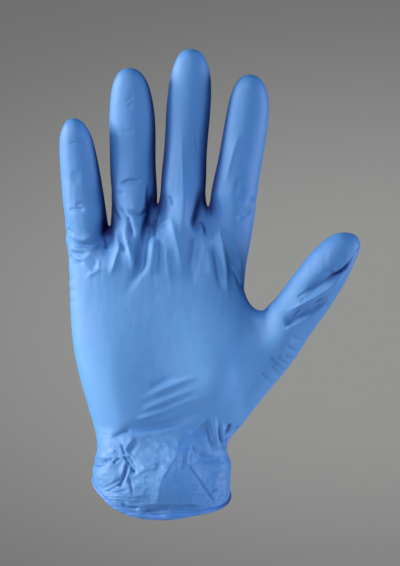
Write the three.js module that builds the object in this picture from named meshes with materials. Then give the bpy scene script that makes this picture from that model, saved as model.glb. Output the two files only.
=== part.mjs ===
// A disposable chemical-resistant glove of blue nitrile film, in the shape it has when worn: right hand,
// palm to the front, fingers up and spread, thumb out to the side, cuff loose and crumpled at the wrist.
// It is one dipped film, hollow from the wrist opening to every fingertip, and the edge of the film is
// rolled on itself into a bead round the opening.
//
// Millimetres. +X runs from the little finger to the thumb, +Y from the palm to the back of the hand,
// +Z from the wrist to the fingertips. The origin is the centre of the wrist opening.
import * as THREE from "three";

const WALL = 1.0; // film thickness as modelled; the real film is about 0.12 mm
const BEAD = { thickness: 2.6, gap: 0.3, sides: 8 }; // rolled edge; its height is in RIM

// Fingers. Each row is a level section: centre x, y and z, width across the palm and depth front to back.
// The first row stands just above the web, the last is the fingertip, a single point.
const FINGERS = [
  {
    name: "little",
    rows: [
      { x: -37.8, y: -2.5, z: 138.6, width: 21.3, depth: 18.8 },
      { x: -38.9, y: -2.5, z: 146.0, width: 21.0, depth: 17.6 },
      { x: -40.1, y: -3.0, z: 156.0, width: 20.2, depth: 16.6 },
      { x: -41.3, y: -4.0, z: 166.0, width: 19.0, depth: 15.8 },
      { x: -42.4, y: -5.2, z: 175.0, width: 17.2, depth: 14.8 },
      { x: -43.1, y: -6.4, z: 181.5, width: 14.0, depth: 12.6 },
      { x: -43.6, y: -7.0, z: 185.9, width: 8.6, depth: 8.2 },
      { x: -43.9, y: -7.2, z: 188.0, width: 0, depth: 0 },
    ],
  },
  {
    name: "ring",
    rows: [
      { x: -13.7, y: -1.6, z: 149.8, width: 23.0, depth: 19.8 },
      { x: -14.2, y: -1.0, z: 157.5, width: 22.9, depth: 19.0 },
      { x: -14.6, y: -0.8, z: 167.5, width: 22.8, depth: 18.4 },
      { x: -14.7, y: -1.2, z: 178.5, width: 23.0, depth: 17.8 },
      { x: -14.9, y: -2.4, z: 189.5, width: 22.6, depth: 16.8 },
      { x: -15.3, y: -3.8, z: 199.0, width: 20.4, depth: 15.2 },
      { x: -15.7, y: -5.0, z: 206.4, width: 16.6, depth: 12.8 },
      { x: -16.0, y: -5.6, z: 211.0, width: 10.4, depth: 8.4 },
      { x: -16.1, y: -5.8, z: 213.2, width: 0, depth: 0 },
    ],
  },
  {
    name: "middle",
    rows: [
      { x: 10.5, y: -1.4, z: 150.6, width: 22.8, depth: 20.2 },
      { x: 10.9, y: -0.8, z: 158.8, width: 22.4, depth: 19.6 },
      { x: 11.6, y: -0.4, z: 170.0, width: 21.5, depth: 18.8 },
      { x: 12.5, y: -0.8, z: 182.0, width: 21.6, depth: 18.0 },
      { x: 13.3, y: -2.0, z: 194.0, width: 22.0, depth: 17.2 },
      { x: 14.1, y: -3.6, z: 205.0, width: 20.8, depth: 15.8 },
      { x: 14.5, y: -5.0, z: 213.4, width: 17.8, depth: 13.4 },
      { x: 14.5, y: -5.8, z: 219.6, width: 12.0, depth: 9.2 },
      { x: 14.3, y: -6.0, z: 222.7, width: 0, depth: 0 },
    ],
  },
  {
    name: "index",
    rows: [
      { x: 35.8, y: -1.8, z: 148.4, width: 23.2, depth: 20.2 },
      { x: 36.8, y: -1.4, z: 155.6, width: 22.8, depth: 19.4 },
      { x: 38.7, y: -1.4, z: 165.0, width: 22.2, depth: 18.4 },
      { x: 40.6, y: -2.0, z: 175.5, width: 22.0, depth: 17.6 },
      { x: 42.2, y: -3.2, z: 186.0, width: 21.6, depth: 16.6 },
      { x: 43.3, y: -4.6, z: 195.5, width: 20.0, depth: 15.0 },
      { x: 43.7, y: -5.8, z: 203.0, width: 16.2, depth: 12.6 },
      { x: 43.8, y: -6.4, z: 207.6, width: 10.2, depth: 8.2 },
      { x: 43.6, y: -6.6, z: 209.8, width: 0, depth: 0 },
    ],
  },
];

// Thumb. Each row is a section across the thumb: its upper edge (x1, z1) at the web side, its lower edge
// (x2, z2), the y of its centre and its depth. The first two fan out from the web. The last is the tip.
const THUMB = [
  { x1: 50.8, z1: 92.4, x2: 50.9, z2: 49.4, y: -3.5, depth: 29.6 },
  { x1: 53.6, z1: 94.8, x2: 64.2, z2: 65.4, y: -6.0, depth: 27.4 },
  { x1: 56.8, z1: 98.6, x2: 72.4, z2: 78.6, y: -8.8, depth: 24.8 },
  { x1: 61.2, z1: 104.4, x2: 79.4, z2: 88.4, y: -11.4, depth: 22.6 },
  { x1: 67.0, z1: 112.3, x2: 85.8, z2: 98.2, y: -13.3, depth: 21.7 },
  { x1: 73.4, z1: 120.3, x2: 90.8, z2: 106.6, y: -15.0, depth: 20.4 },
  { x1: 80.2, z1: 126.9, x2: 94.8, z2: 115.0, y: -16.4, depth: 17.6 },
  { x1: 87.0, z1: 130.6, x2: 97.6, z2: 121.0, y: -17.2, depth: 12.8 },
  { x1: 96.4, z1: 129.2, x2: 96.4, z2: 129.2, y: -17.6, depth: 0 },
];

// Palm and wrist, from the finger webs to the start of the loose cuff. left and right are the outline, z the
// height of the left edge, front and back the reach to the palm side and the back of the hand. fan is how
// far the columns follow the fingers (1) rather than an even ring (0), thenar and heel the swell of the
// thumb's muscle and of the heel of the hand, side how far the section stays deep where the thumb leaves it.
const PALM = [
  { z: 129.0, left: -47.8, right: 45.3, front: 14.6, back: 12.6, fan: 1.0, thenar: 0, heel: 0, side: 0 },
  { z: 116.5, left: -46.5, right: 43.0, front: 15.2, back: 13.6, fan: 0.82, thenar: 0, heel: 0, side: 0 },
  { z: 104.0, left: -46.2, right: 41.6, front: 15.8, back: 14.4, fan: 0.55, thenar: 0.6, heel: 0, side: 0.1 },
  { z: 91.8, left: -45.7, right: 44.5, front: 16.4, back: 15.0, fan: 0.3, thenar: 2.0, heel: 0.5, side: 0.45 },
  { z: 78.0, left: -44.7, right: 43.6, front: 16.8, back: 15.4, fan: 0.15, thenar: 3.0, heel: 1.5, side: 0.9 },
  { z: 64.0, left: -42.3, right: 41.8, front: 17.2, back: 15.8, fan: 0.05, thenar: 3.6, heel: 2.5, side: 1 },
  { z: 50.0, left: -38.6, right: 39.2, front: 17.6, back: 16.4, fan: 0, thenar: 3.8, heel: 3.0, side: 0.9 },
  { z: 37.0, left: -34.7, right: 39.6, front: 18.2, back: 17.0, fan: 0, thenar: 2.8, heel: 2.5, side: 0.35 },
  { z: 28.6, left: -32.7, right: 34.8, front: 18.8, back: 17.8, fan: 0, thenar: 1.5, heel: 1.0, side: 0 },
  { z: 22.8, left: -32.3, right: 32.3, front: 20.0, back: 18.8, fan: 0, thenar: 0, heel: 0, side: 0 },
];
const WEB_ROW = 3; // the thumb opens out of the side between these two rows
const THENAR_ROW = 7;

// Places on the thumb side of the outline that leave their row: under the index finger, in the thumb's web
// and where the thumb's muscle starts.
const SIDE_POINTS = [
  { row: 2, x: 41.7, y: -1.0, z: 100.2 },
  { row: WEB_ROW, x: 48.8, y: -2.0, z: 92.4 },
  { row: THENAR_ROW, x: 41.5, y: -2.0, z: 37.2 },
];

// Cuff rows below the palm: share is how far the row has come from the last palm row to the rim.
const CUFF = [
  { share: 0.16, left: -32.8, right: 33.6, front: 21.4, back: 20.0 },
  { share: 0.36, left: -33.7, right: 34.6, front: 22.8, back: 21.8 },
  { share: 0.57, left: -34.5, right: 34.4, front: 24.0, back: 23.2 },
  { share: 0.79, left: -34.6, right: 34.2, front: 24.4, back: 24.2 },
  { share: 1.0, left: -34.4, right: 34.0, front: 24.2, back: 24.6 },
];

// Height of the film's rim, which hangs lowest at the palm side, and of the bead rolled under it. turn goes
// from the left edge round the front.
const RIM = [
  { turn: 0, z: 8.8, bead: 2.2 },
  { turn: 20, z: 5.0, bead: 2.2 },
  { turn: 36, z: 0.6, bead: 2.4 },
  { turn: 52, z: -4.0, bead: 2.8 },
  { turn: 72, z: -6.9, bead: 3.4 },
  { turn: 95, z: -7.2, bead: 3.5 },
  { turn: 125, z: -5.8, bead: 2.8 },
  { turn: 152, z: -3.6, bead: 2.3 },
  { turn: 180, z: 0.4, bead: 2.2 },
  { turn: 225, z: 7.0, bead: 2.3 },
  { turn: 270, z: 8.8, bead: 2.4 },
  { turn: 315, z: 10.2, bead: 2.3 },
];

// Broad folds of the film, as lines over the picture plane (x, z). height is out of the surface for a ridge
// and into it for a groove, width how far it spreads to each side. side is -1 for the palm, 1 for the back.
const FOLDS = [
  { side: -1, height: -1.7, width: 3.6, path: [[-4, 139], [-8, 130], [-9.5, 119], [-17, 102], [-21, 94]] },
  { side: -1, height: 1.3, width: 2.8, path: [[-21, 136], [-17, 128], [-14.5, 120], [-17.5, 110]] },
  { side: -1, height: 0.9, width: 2.6, path: [[-26, 128], [-25, 116], [-27, 105]] },
  { side: -1, height: -1.2, width: 3.4, path: [[21, 141], [17.5, 131], [15.5, 120], [16, 108]] },
  { side: -1, height: 0.8, width: 3.0, path: [[4, 137], [8.8, 126], [9.4, 115]] },
  { side: -1, height: 1.4, width: 2.8, path: [[27, 140], [28.2, 128], [29.6, 117], [32, 98]] },
  { side: -1, height: -1.2, width: 2.6, path: [[-46, 127], [-39, 122.5], [-30, 126]] },
  { side: -1, height: 1.1, width: 2.6, path: [[-10, 45], [2, 49.5], [15, 55]] },
  { side: -1, height: -1.3, width: 2.8, path: [[-14, 38], [0, 43], [16, 49.5]] },
  { side: -1, height: -1.5, width: 3.4, path: [[-25, 29.5], [-16, 33], [-5, 34.5], [8, 36.5], [21, 41], [30, 43]] },
  { side: -1, height: -1.8, width: 3.2, path: [[-12, 27], [-15.5, 20], [-19, 12], [-23, 6]] },
  { side: -1, height: 1.2, width: 3.0, path: [[-27, 20], [-30, 10], [-27, 3]] },
  { side: -1, height: 1.3, width: 3.4, path: [[12, 30], [8, 18], [0, 8], [-3, 0]] },
  { side: -1, height: -1.5, width: 3.4, path: [[30, 19], [20, 20], [15, 24]] },
  { side: -1, height: 0.9, width: 2.6, path: [[13, 15], [20, 5], [27, -3]] },
  { side: -1, height: -1.6, width: 2.4, path: [[96, 119], [88, 110], [80, 103], [71, 97]] },
  { side: -1, height: 1.2, width: 2.4, path: [[84, 104], [76, 98.5], [66, 94]] },
  { side: -1, height: -1.3, width: 2.6, path: [[83, 98], [76, 93], [66, 87]] },
  { side: 1, height: 1.4, width: 5.0, path: [[-36, 122], [-33, 112]] },
  { side: 1, height: 1.6, width: 5.0, path: [[-13, 130], [-12, 118]] },
  { side: 1, height: 1.6, width: 5.0, path: [[11, 131], [10, 119]] },
  { side: 1, height: 1.5, width: 5.0, path: [[33, 128], [31, 116]] },
  { side: 1, height: -1.3, width: 3.4, path: [[-30, 34], [-8, 29], [14, 33], [34, 40]] },
  { side: 1, height: -1.2, width: 3.2, path: [[-20, 24], [-14, 13], [-16, 3]] },
  { side: 1, height: 1.2, width: 3.2, path: [[12, 26], [17, 14], [14, 4]] },
];

// The knuckle line: across is the place over the palm's width from -1 to 1, rise the height over the little
// finger's web, crotch marks the webs between fingers.
const KNUCKLES = [
  { across: -0.955, rise: 0.0, crotch: false },
  { across: -0.755, rise: 0.0, crotch: false },
  { across: -0.535, rise: 1.0, crotch: true },
  { across: -0.275, rise: 3.5, crotch: false },
  { across: -0.02, rise: 11.5, crotch: true },
  { across: 0.25, rise: 10.0, crotch: false },
  { across: 0.52, rise: 10.0, crotch: true },
  { across: 0.765, rise: 7.5, crotch: false },
  { across: 0.955, rise: 5.5, crotch: false },
];
const RIGHT_RISE = 5.5;
const CROTCH = { reach: 0.72, frontDrop: 1.5, webRise: 7.2, webY: -0.5, backDrop: 6.5 };
const SIDE_REACH = 0.92;
const EASE = 0.03;
const SECTION_POWER = 2.5; // squareness of a palm section: 2 is an ellipse, more is squarer
const FINGER_POWER = 2.7; // the same for a finger

const FRONT_COLUMNS = KNUCKLES.length; // 9 in front, 9 behind and one at each side: 20 round the palm
const RIGHT = FRONT_COLUMNS;
const LEFT = 2 * FRONT_COLUMNS + 1;
const AROUND = 2 * FRONT_COLUMNS + 2;

const radians = THREE.MathUtils.degToRad;
const mix = THREE.MathUtils.lerp;

// A cage of four-sided faces. Its finished surface passes through the cage's own points.
class Cage {
  constructor() {
    this.points = [];
    this.quads = [];
  }
  point(x, y, z) {
    return this.points.push(new THREE.Vector3(x, y, z)) - 1;
  }
  // Faces between two rings of the same count, each a list of point numbers.
  band(lower, upper) {
    lower.forEach((a, i) => {
      const next = (i + 1) % lower.length;
      this.quads.push([a, lower[next], upper[next], upper[i]]);
    });
  }
  // Closes a ring of an even count with four-sided faces round one point.
  cap(ring, centre) {
    for (let i = 0; i < ring.length; i += 2)
      this.quads.push([ring[i], ring[i + 1], ring[(i + 2) % ring.length], centre]);
  }
}

// How far a palm section reaches to the front or back at a place across it from -1 to 1. side keeps it deep
// towards the thumb.
function sectionReach(across, side) {
  const reach = Math.pow(1 - Math.pow(Math.min(1, Math.abs(across)), SECTION_POWER), 1 / SECTION_POWER);
  return mix(reach, Math.max(reach, SIDE_REACH), side * THREE.MathUtils.smoothstep(across, 0.3, 0.95));
}

// A smooth swell of height 1, centred at a place across the palm.
function swell(across, centre, width) {
  return Math.exp(-(((across - centre) / width) ** 2));
}

function evenAcross(column) {
  return -Math.cos(((column + 1) * Math.PI) / (FRONT_COLUMNS + 1));
}

// One row of the palm as its 20 points: front from left to right, right side, back from right to left,
// left side.
function palmRing(row) {
  const middle = (row.left + row.right) / 2;
  const half = (row.right - row.left) / 2;
  const front = [];
  const back = [];
  KNUCKLES.forEach((knuckle, column) => {
    const across = mix(evenAcross(column), knuckle.across, row.fan);
    const x = middle + half * across;
    const reach = sectionReach(across, row.side);
    const bulge = row.thenar * swell(across, 0.72, 0.42) + row.heel * swell(across, -0.6, 0.35);
    const web = knuckle.crotch && row.fan === 1;
    const pull = web ? CROTCH.reach : 1;
    const z = row.z + row.fan * knuckle.rise;
    front.push([x, -(row.front * reach + bulge) * pull, z - (web ? CROTCH.frontDrop : 0)]);
    back.push([x, row.back * reach * pull, z - row.fan * CROTCH.backDrop]);
  });
  return [
    ...front,
    [row.right, 0, row.z + row.fan * RIGHT_RISE],
    ...back.reverse(),
    [row.left, 0, row.z],
  ];
}

// Value of one column of the RIM table at any turn, along a smooth closed curve.
function rimValue(key, turn) {
  const station = (i) => {
    const wrapped = (i + RIM.length) % RIM.length;
    return { turn: RIM[wrapped].turn + (360 * (i - wrapped)) / RIM.length, value: RIM[wrapped][key] };
  };
  const i = RIM.filter((s) => s.turn <= turn).length - 1;
  const [before, from, to, after] = [-1, 0, 1, 2].map((step) => station(i + step));
  const span = to.turn - from.turn;
  const t = (turn - from.turn) / span;
  const leave = ((to.value - before.value) / (to.turn - before.turn)) * span;
  const arrive = ((after.value - from.value) / (after.turn - from.turn)) * span;
  const rise = to.value - from.value;
  return from.value + t * (leave + t * (3 * rise - 2 * leave - arrive + t * (leave + arrive - 2 * rise)));
}

function cuffRing(row, start) {
  const round = palmRing({ ...row, z: 0, fan: 0, thenar: 0, heel: 0, side: 0 });
  return round.map(([x, y], k) => {
    const turn = (((k + 1) % AROUND) * 360) / AROUND;
    return [x, y, mix(start.z, rimValue("z", turn), row.share)];
  });
}

function buildCage() {
  const cage = new Cage();
  const start = PALM[PALM.length - 1];
  const rows = [...PALM.map(palmRing), ...CUFF.map((row) => cuffRing(row, start))];
  for (const p of SIDE_POINTS) rows[p.row][RIGHT] = [p.x, p.y, p.z];
  const rings = rows.map((ring, j) =>
    ring.map((p, k) => (k === RIGHT && j > WEB_ROW && j < THENAR_ROW ? null : cage.point(...p))),
  );
  // The palm's side is left open between the web and the thenar rows, on both sides of the right column.
  for (let j = 1; j < rings.length; j++)
    for (let k = 0; k < AROUND; k++) {
      const next = (k + 1) % AROUND;
      const thumbHole = j > WEB_ROW && j <= THENAR_ROW && (k === RIGHT || next === RIGHT);
      if (!thumbHole) cage.quads.push([rings[j][k], rings[j][next], rings[j - 1][next], rings[j - 1][k]]);
    }
  addFingers(cage, rings[0]);
  addThumb(cage, rings);
  return { cage, rim: rings[rings.length - 1] };
}

// Turns a cosine or sine of an ellipse into that of the squarer section of a finger.
function squared(wave) {
  return Math.sign(wave) * Math.pow(Math.abs(wave), 2 / FINGER_POWER);
}

// A finger takes three front columns and three back columns, with a web point at each side.
function addFingers(cage, top) {
  const webs = [top[LEFT]];
  KNUCKLES.forEach((knuckle, column) => {
    if (!knuckle.crotch) return;
    const front = cage.points[top[column]];
    webs.push(cage.point(front.x, CROTCH.webY, front.z + CROTCH.webRise));
  });
  webs.push(top[RIGHT]);
  FINGERS.forEach((finger, f) => {
    const c = 2 * f;
    const behind = (column) => top[LEFT - 1 - column];
    let ring = [top[c], top[c + 1], top[c + 2], webs[f + 1], behind(c + 2), behind(c + 1), behind(c), webs[f]];
    for (const row of finger.rows) {
      if (!row.width) {
        cage.cap(ring, cage.point(row.x, row.y, row.z));
        break;
      }
      const next = ring.map((_, i) => {
        const turn = radians(225 + 45 * i);
        const [across, deep] = [Math.cos(turn), Math.sin(turn)].map(squared);
        return cage.point(row.x + (row.width / 2) * across, row.y + (row.depth / 2) * deep, row.z);
      });
      cage.band(ring, next);
      ring = next;
    }
  });
}

// The thumb's ring starts at the web, runs down the palm's last front column and up its last back column.
function addThumb(cage, rings) {
  const rows = rings.slice(WEB_ROW, THENAR_ROW + 1);
  const front = rows.map((ring) => ring[RIGHT - 1]);
  const back = rows.map((ring) => ring[RIGHT + 1]).reverse();
  let ring = [rows[0][RIGHT], ...front, rows[rows.length - 1][RIGHT], ...back];
  for (const row of THUMB) {
    const centre = new THREE.Vector2(row.x1 + row.x2, row.z1 + row.z2).multiplyScalar(0.5);
    if (!row.depth) {
      cage.cap(ring, cage.point(centre.x, row.y, centre.y));
      break;
    }
    const next = ring.map((_, i) => {
      const turn = (2 * Math.PI * i) / ring.length;
      const up = Math.cos(turn);
      const x = centre.x + (row.x1 - centre.x) * up;
      const z = centre.y + (row.z1 - centre.y) * up;
      return cage.point(x, row.y - (row.depth / 2) * Math.sin(turn), z);
    });
    cage.band(ring, next);
    ring = next;
  }
}

// Neighbours of every point: ends of its edges, far corners of its faces, and its two rim neighbours if it
// lies on the open rim.
function neighbours({ points, quads }) {
  const near = points.map(() => ({ faces: 0, edges: [], corners: [], rim: [] }));
  const count = new Map();
  for (const quad of quads)
    quad.forEach((a, i) => {
      const [b, c, d] = [1, 2, 3].map((step) => quad[(i + step) % 4]);
      near[a].faces += 1;
      near[a].edges.push(b, d);
      near[a].corners.push(c);
      const key = a < b ? `${a},${b}` : `${b},${a}`;
      count.set(key, (count.get(key) ?? 0) + 1);
    });
  for (const [key, faces] of count)
    if (faces === 1) {
      const [a, b] = key.split(",").map(Number);
      near[a].rim.push(b);
      near[b].rim.push(a);
    }
  return near;
}

function total(points, numbers) {
  return numbers.reduce((sum, n) => sum.add(points[n]), new THREE.Vector3());
}

// Where the subdivided surface ends up above each point of the cage.
function limitPoints(cage, near) {
  return cage.points.map((p, a) => {
    const { faces: n, edges, corners, rim } = near[a];
    if (rim.length) return total(cage.points, rim).addScaledVector(p, 4).divideScalar(6);
    const sum = total(cage.points, edges).multiplyScalar(2).add(total(cage.points, corners));
    return sum.addScaledVector(p, n * n).divideScalar(n * (n + 5));
  });
}

// Moves the cage's points until the surface passes through the places they were given.
function interpolate(cage, rounds) {
  const near = neighbours(cage);
  const wanted = cage.points.map((p) => p.clone());
  for (let round = 0; round < rounds; round++) {
    const reached = limitPoints(cage, near);
    cage.points.forEach((p, a) => p.add(wanted[a]).sub(reached[a]));
  }
}

// One step of Catmull-Clark subdivision.
function subdivide(cage) {
  const near = neighbours(cage);
  const fine = new Cage();
  cage.points.forEach((p, a) => {
    const { faces: n, edges, corners, rim } = near[a];
    const moved = rim.length
      ? total(cage.points, rim).addScaledVector(p, 6).divideScalar(8)
      : total(cage.points, edges)
          .multiplyScalar(3 / (4 * n * n))
          .addScaledVector(total(cage.points, corners), 1 / (4 * n * n))
          .addScaledVector(p, 1 - 7 / (4 * n));
    fine.points.push(moved);
  });
  const middles = new Map();
  const faceCentres = cage.quads.map((quad) => {
    const c = total(cage.points, quad).divideScalar(4);
    return fine.point(c.x, c.y, c.z);
  });
  cage.quads.forEach((quad, f) =>
    quad.forEach((a, i) => {
      const b = quad[(i + 1) % 4];
      const key = a < b ? `${a},${b}` : `${b},${a}`;
      if (!middles.has(key)) middles.set(key, { ends: [a, b], centres: [], number: fine.point(0, 0, 0) });
      middles.get(key).centres.push(faceCentres[f]);
    }),
  );
  for (const { ends, centres, number } of middles.values()) {
    const sum = total(cage.points, ends);
    if (centres.length === 2) sum.add(total(fine.points, centres)).divideScalar(4);
    else sum.divideScalar(2);
    fine.points[number].copy(sum);
  }
  const middle = (a, b) => middles.get(a < b ? `${a},${b}` : `${b},${a}`).number;
  cage.quads.forEach((quad, f) =>
    quad.forEach((a, i) => {
      const before = quad[(i + 3) % 4];
      const after = quad[(i + 1) % 4];
      fine.quads.push([a, middle(a, after), faceCentres[f], middle(before, a)]);
    }),
  );
  return fine;
}

// Where the inner skin lies under each point: the wall's thickness in from every face round it, as nearly as
// can be, so that sharp valleys move down further than flat places. EASE keeps the sharpest ones in bounds.
function insidePoints({ points, quads }) {
  const sums = points.map(() => ({ products: new Array(9).fill(0), normals: new THREE.Vector3(), faces: 0 }));
  for (const quad of quads) {
    const n = quadNormal(points, quad).normalize();
    const product = [n.x, n.y, n.z].flatMap((a) => [a * n.x, a * n.y, a * n.z]);
    for (const a of quad) {
      sums[a].products = sums[a].products.map((value, i) => value + product[i]);
      sums[a].normals.add(n);
      sums[a].faces += 1;
    }
  }
  return points.map((p, a) => {
    const { products, normals, faces } = sums[a];
    const eased = products.map((value, i) => value + (i % 4 === 0 ? EASE * faces : 0));
    const inward = normals.applyMatrix3(new THREE.Matrix3().set(...eased).invert());
    return p.clone().addScaledVector(inward, -WALL * (1 + EASE));
  });
}

function quadNormal(points, quad) {
  const [a, b, c, d] = quad.map((n) => points[n]);
  return new THREE.Vector3().subVectors(c, a).cross(new THREE.Vector3().subVectors(d, b));
}

function pointNormals({ points, quads }) {
  const normals = points.map(() => new THREE.Vector3());
  for (const quad of quads) {
    const across = quadNormal(points, quad);
    quad.forEach((n) => normals[n].add(across));
  }
  return normals.map((n) => n.normalize());
}

// The open edge of a cage as a loop of point numbers.
function rimLoop(cage, start) {
  const near = neighbours(cage);
  const loop = [start];
  let before = -1;
  let here = start;
  do {
    const next = near[here].rim.find((n) => n !== before && (n !== start || loop.length > 2));
    before = here;
    here = next;
    if (here !== start) loop.push(here);
  } while (here !== start);
  return loop;
}

function geometryOf(points, triangles) {
  const geometry = new THREE.BufferGeometry().setFromPoints(points);
  geometry.setIndex(triangles);
  geometry.computeVertexNormals();
  return geometry;
}

// Splits a four-sided face along its shorter diagonal, facing out or in.
function split(points, [a, b, c, d], inward, offset = 0) {
  const short = points[a].distanceTo(points[c]) <= points[b].distanceTo(points[d]);
  const halves = short ? [[a, b, c], [a, c, d]] : [[a, b, d], [b, c, d]];
  return halves.flatMap((t) => (inward ? t.reverse() : t).map((n) => n + offset));
}

// Distance from a point to a line of several pieces, in the picture plane.
function distanceTo(path, x, z) {
  const here = new THREE.Vector3(x, z, 0);
  const nearest = new THREE.Vector3();
  const pieces = path.slice(1).map((end, i) => {
    const piece = new THREE.Line3(new THREE.Vector3(...path[i], 0), new THREE.Vector3(...end, 0));
    return piece.closestPointToPoint(here, true, nearest).distanceTo(here);
  });
  return Math.min(...pieces);
}

// Moves the skin's points out and in along the folds of the side they face.
function crumple(skin) {
  const normals = pointNormals(skin);
  skin.points.forEach((p, i) => {
    const { x, z } = p;
    for (const fold of FOLDS) {
      const facing = THREE.MathUtils.smoothstep(normals[i].y * fold.side, 0.1, 0.6);
      if (!facing) continue;
      const away = distanceTo(fold.path, x, z) / fold.width;
      p.addScaledVector(normals[i], fold.height * facing * Math.exp(-away * away));
    }
  });
}

// The film: the outer skin, the inner skin under it, and a band that joins the two at the rim.
function filmGeometry(outer, inner, loop) {
  const offset = outer.points.length;
  const triangles = [];
  for (const quad of outer.quads) {
    triangles.push(...split(outer.points, quad, false));
    triangles.push(...split(outer.points, quad, true, offset));
  }
  loop.forEach((a, i) => {
    const b = loop[(i + 1) % loop.length];
    triangles.push(b, a, a + offset, b, a + offset, b + offset);
  });
  return geometryOf([...outer.points, ...inner], triangles);
}

// The rolled edge: a closed ring that follows the film's rim a small gap below it.
function beadGeometry(outer, inner, loop) {
  const points = [];
  const triangles = [];
  loop.forEach((a, i) => {
    const rim = new THREE.Vector3().addVectors(outer.points[a], inner[a]).divideScalar(2);
    const out = new THREE.Vector3().subVectors(outer.points[a], inner[a]).normalize();
    const ahead = outer.points[loop[(i + 1) % loop.length]];
    const behind = outer.points[loop[(i + loop.length - 1) % loop.length]];
    const down = new THREE.Vector3().subVectors(ahead, behind).cross(out).normalize();
    if (down.z > 0) down.negate();
    const turn = (THREE.MathUtils.radToDeg(Math.atan2(-rim.y, -rim.x)) + 360) % 360;
    const height = rimValue("bead", turn);
    const centre = rim.addScaledVector(down, BEAD.gap + height / 2);
    for (let k = 0; k < BEAD.sides; k++) {
      const angle = (2 * Math.PI * k) / BEAD.sides;
      const p = centre.clone().addScaledVector(down, (-height / 2) * Math.cos(angle));
      points.push(p.addScaledVector(out, (BEAD.thickness / 2) * Math.sin(angle)));
    }
  });
  for (let i = 0; i < loop.length; i++)
    for (let k = 0; k < BEAD.sides; k++) {
      const [a, b] = [k, (k + 1) % BEAD.sides].map((side) => i * BEAD.sides + side);
      const [d, c] = [a, b].map((n) => (n + BEAD.sides) % points.length);
      triangles.push(a, b, c, a, c, d);
    }
  return geometryOf(points, triangles);
}

const { cage, rim } = buildCage();
interpolate(cage, 4);
const skin = subdivide(cage);
skin.points = limitPoints(skin, neighbours(skin));
crumple(skin);
const lining = insidePoints(skin);
const loop = rimLoop(skin, rim[0]);

// The bead is several layers of the same film, so its blue is deeper.
const parts = [
  { name: "glove_film", geometry: filmGeometry(skin, lining, loop), color: 0x4f8fdc, roughness: 0.42 },
  { name: "rolled_cuff_bead", geometry: beadGeometry(skin, lining, loop), color: 0x3f7fd0, roughness: 0.38 },
];

const glove = new THREE.Group();
for (const { name, geometry, color, roughness } of parts) {
  const mesh = new THREE.Mesh(geometry, new THREE.MeshStandardMaterial({ color, roughness, metalness: 0 }));
  mesh.name = name;
  glove.add(mesh);
}
export default glove;
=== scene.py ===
"""A disposable chemical-resistant glove of dipped nitrile film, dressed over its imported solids.

The glove has the shape it has when worn: right hand, palm to the front, fingers up, cuff loose at the wrist.
The film is one smooth surface worked out from a cage of four-sided faces, with its folds pressed into it,
and the bead is the film's edge rolled on itself. Tables are in millimetres, Blender's objects in metres. +X
runs from the little finger to the thumb, +Y from the palm to the back of the hand, +Z from wrist to tips.
"""

import logging
import math
from dataclasses import dataclass, field
from enum import Enum
from functools import cached_property

import bpy
import numpy as np
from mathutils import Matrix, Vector


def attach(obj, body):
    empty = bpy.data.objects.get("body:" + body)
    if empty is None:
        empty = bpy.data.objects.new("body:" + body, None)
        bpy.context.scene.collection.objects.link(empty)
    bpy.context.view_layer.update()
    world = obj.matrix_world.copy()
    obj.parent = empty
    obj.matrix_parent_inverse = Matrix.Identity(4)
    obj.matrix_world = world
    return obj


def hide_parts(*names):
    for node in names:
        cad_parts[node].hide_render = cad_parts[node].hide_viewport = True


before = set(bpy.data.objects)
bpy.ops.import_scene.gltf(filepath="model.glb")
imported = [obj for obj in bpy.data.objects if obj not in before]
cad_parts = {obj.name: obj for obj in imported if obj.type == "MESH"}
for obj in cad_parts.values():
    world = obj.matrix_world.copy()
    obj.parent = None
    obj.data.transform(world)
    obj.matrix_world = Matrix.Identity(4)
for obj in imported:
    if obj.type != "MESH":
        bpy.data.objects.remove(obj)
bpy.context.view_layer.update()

MM = 0.001  # metres in a millimetre
BODY = "root"
Span = tuple[float, float]
Path = tuple[tuple[float, float], ...]
Socket = bpy.types.NodeSocket
Value = Socket | float | tuple[float, ...]

log = logging.getLogger("glove")


# smooth surfaces from four-sided faces


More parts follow.
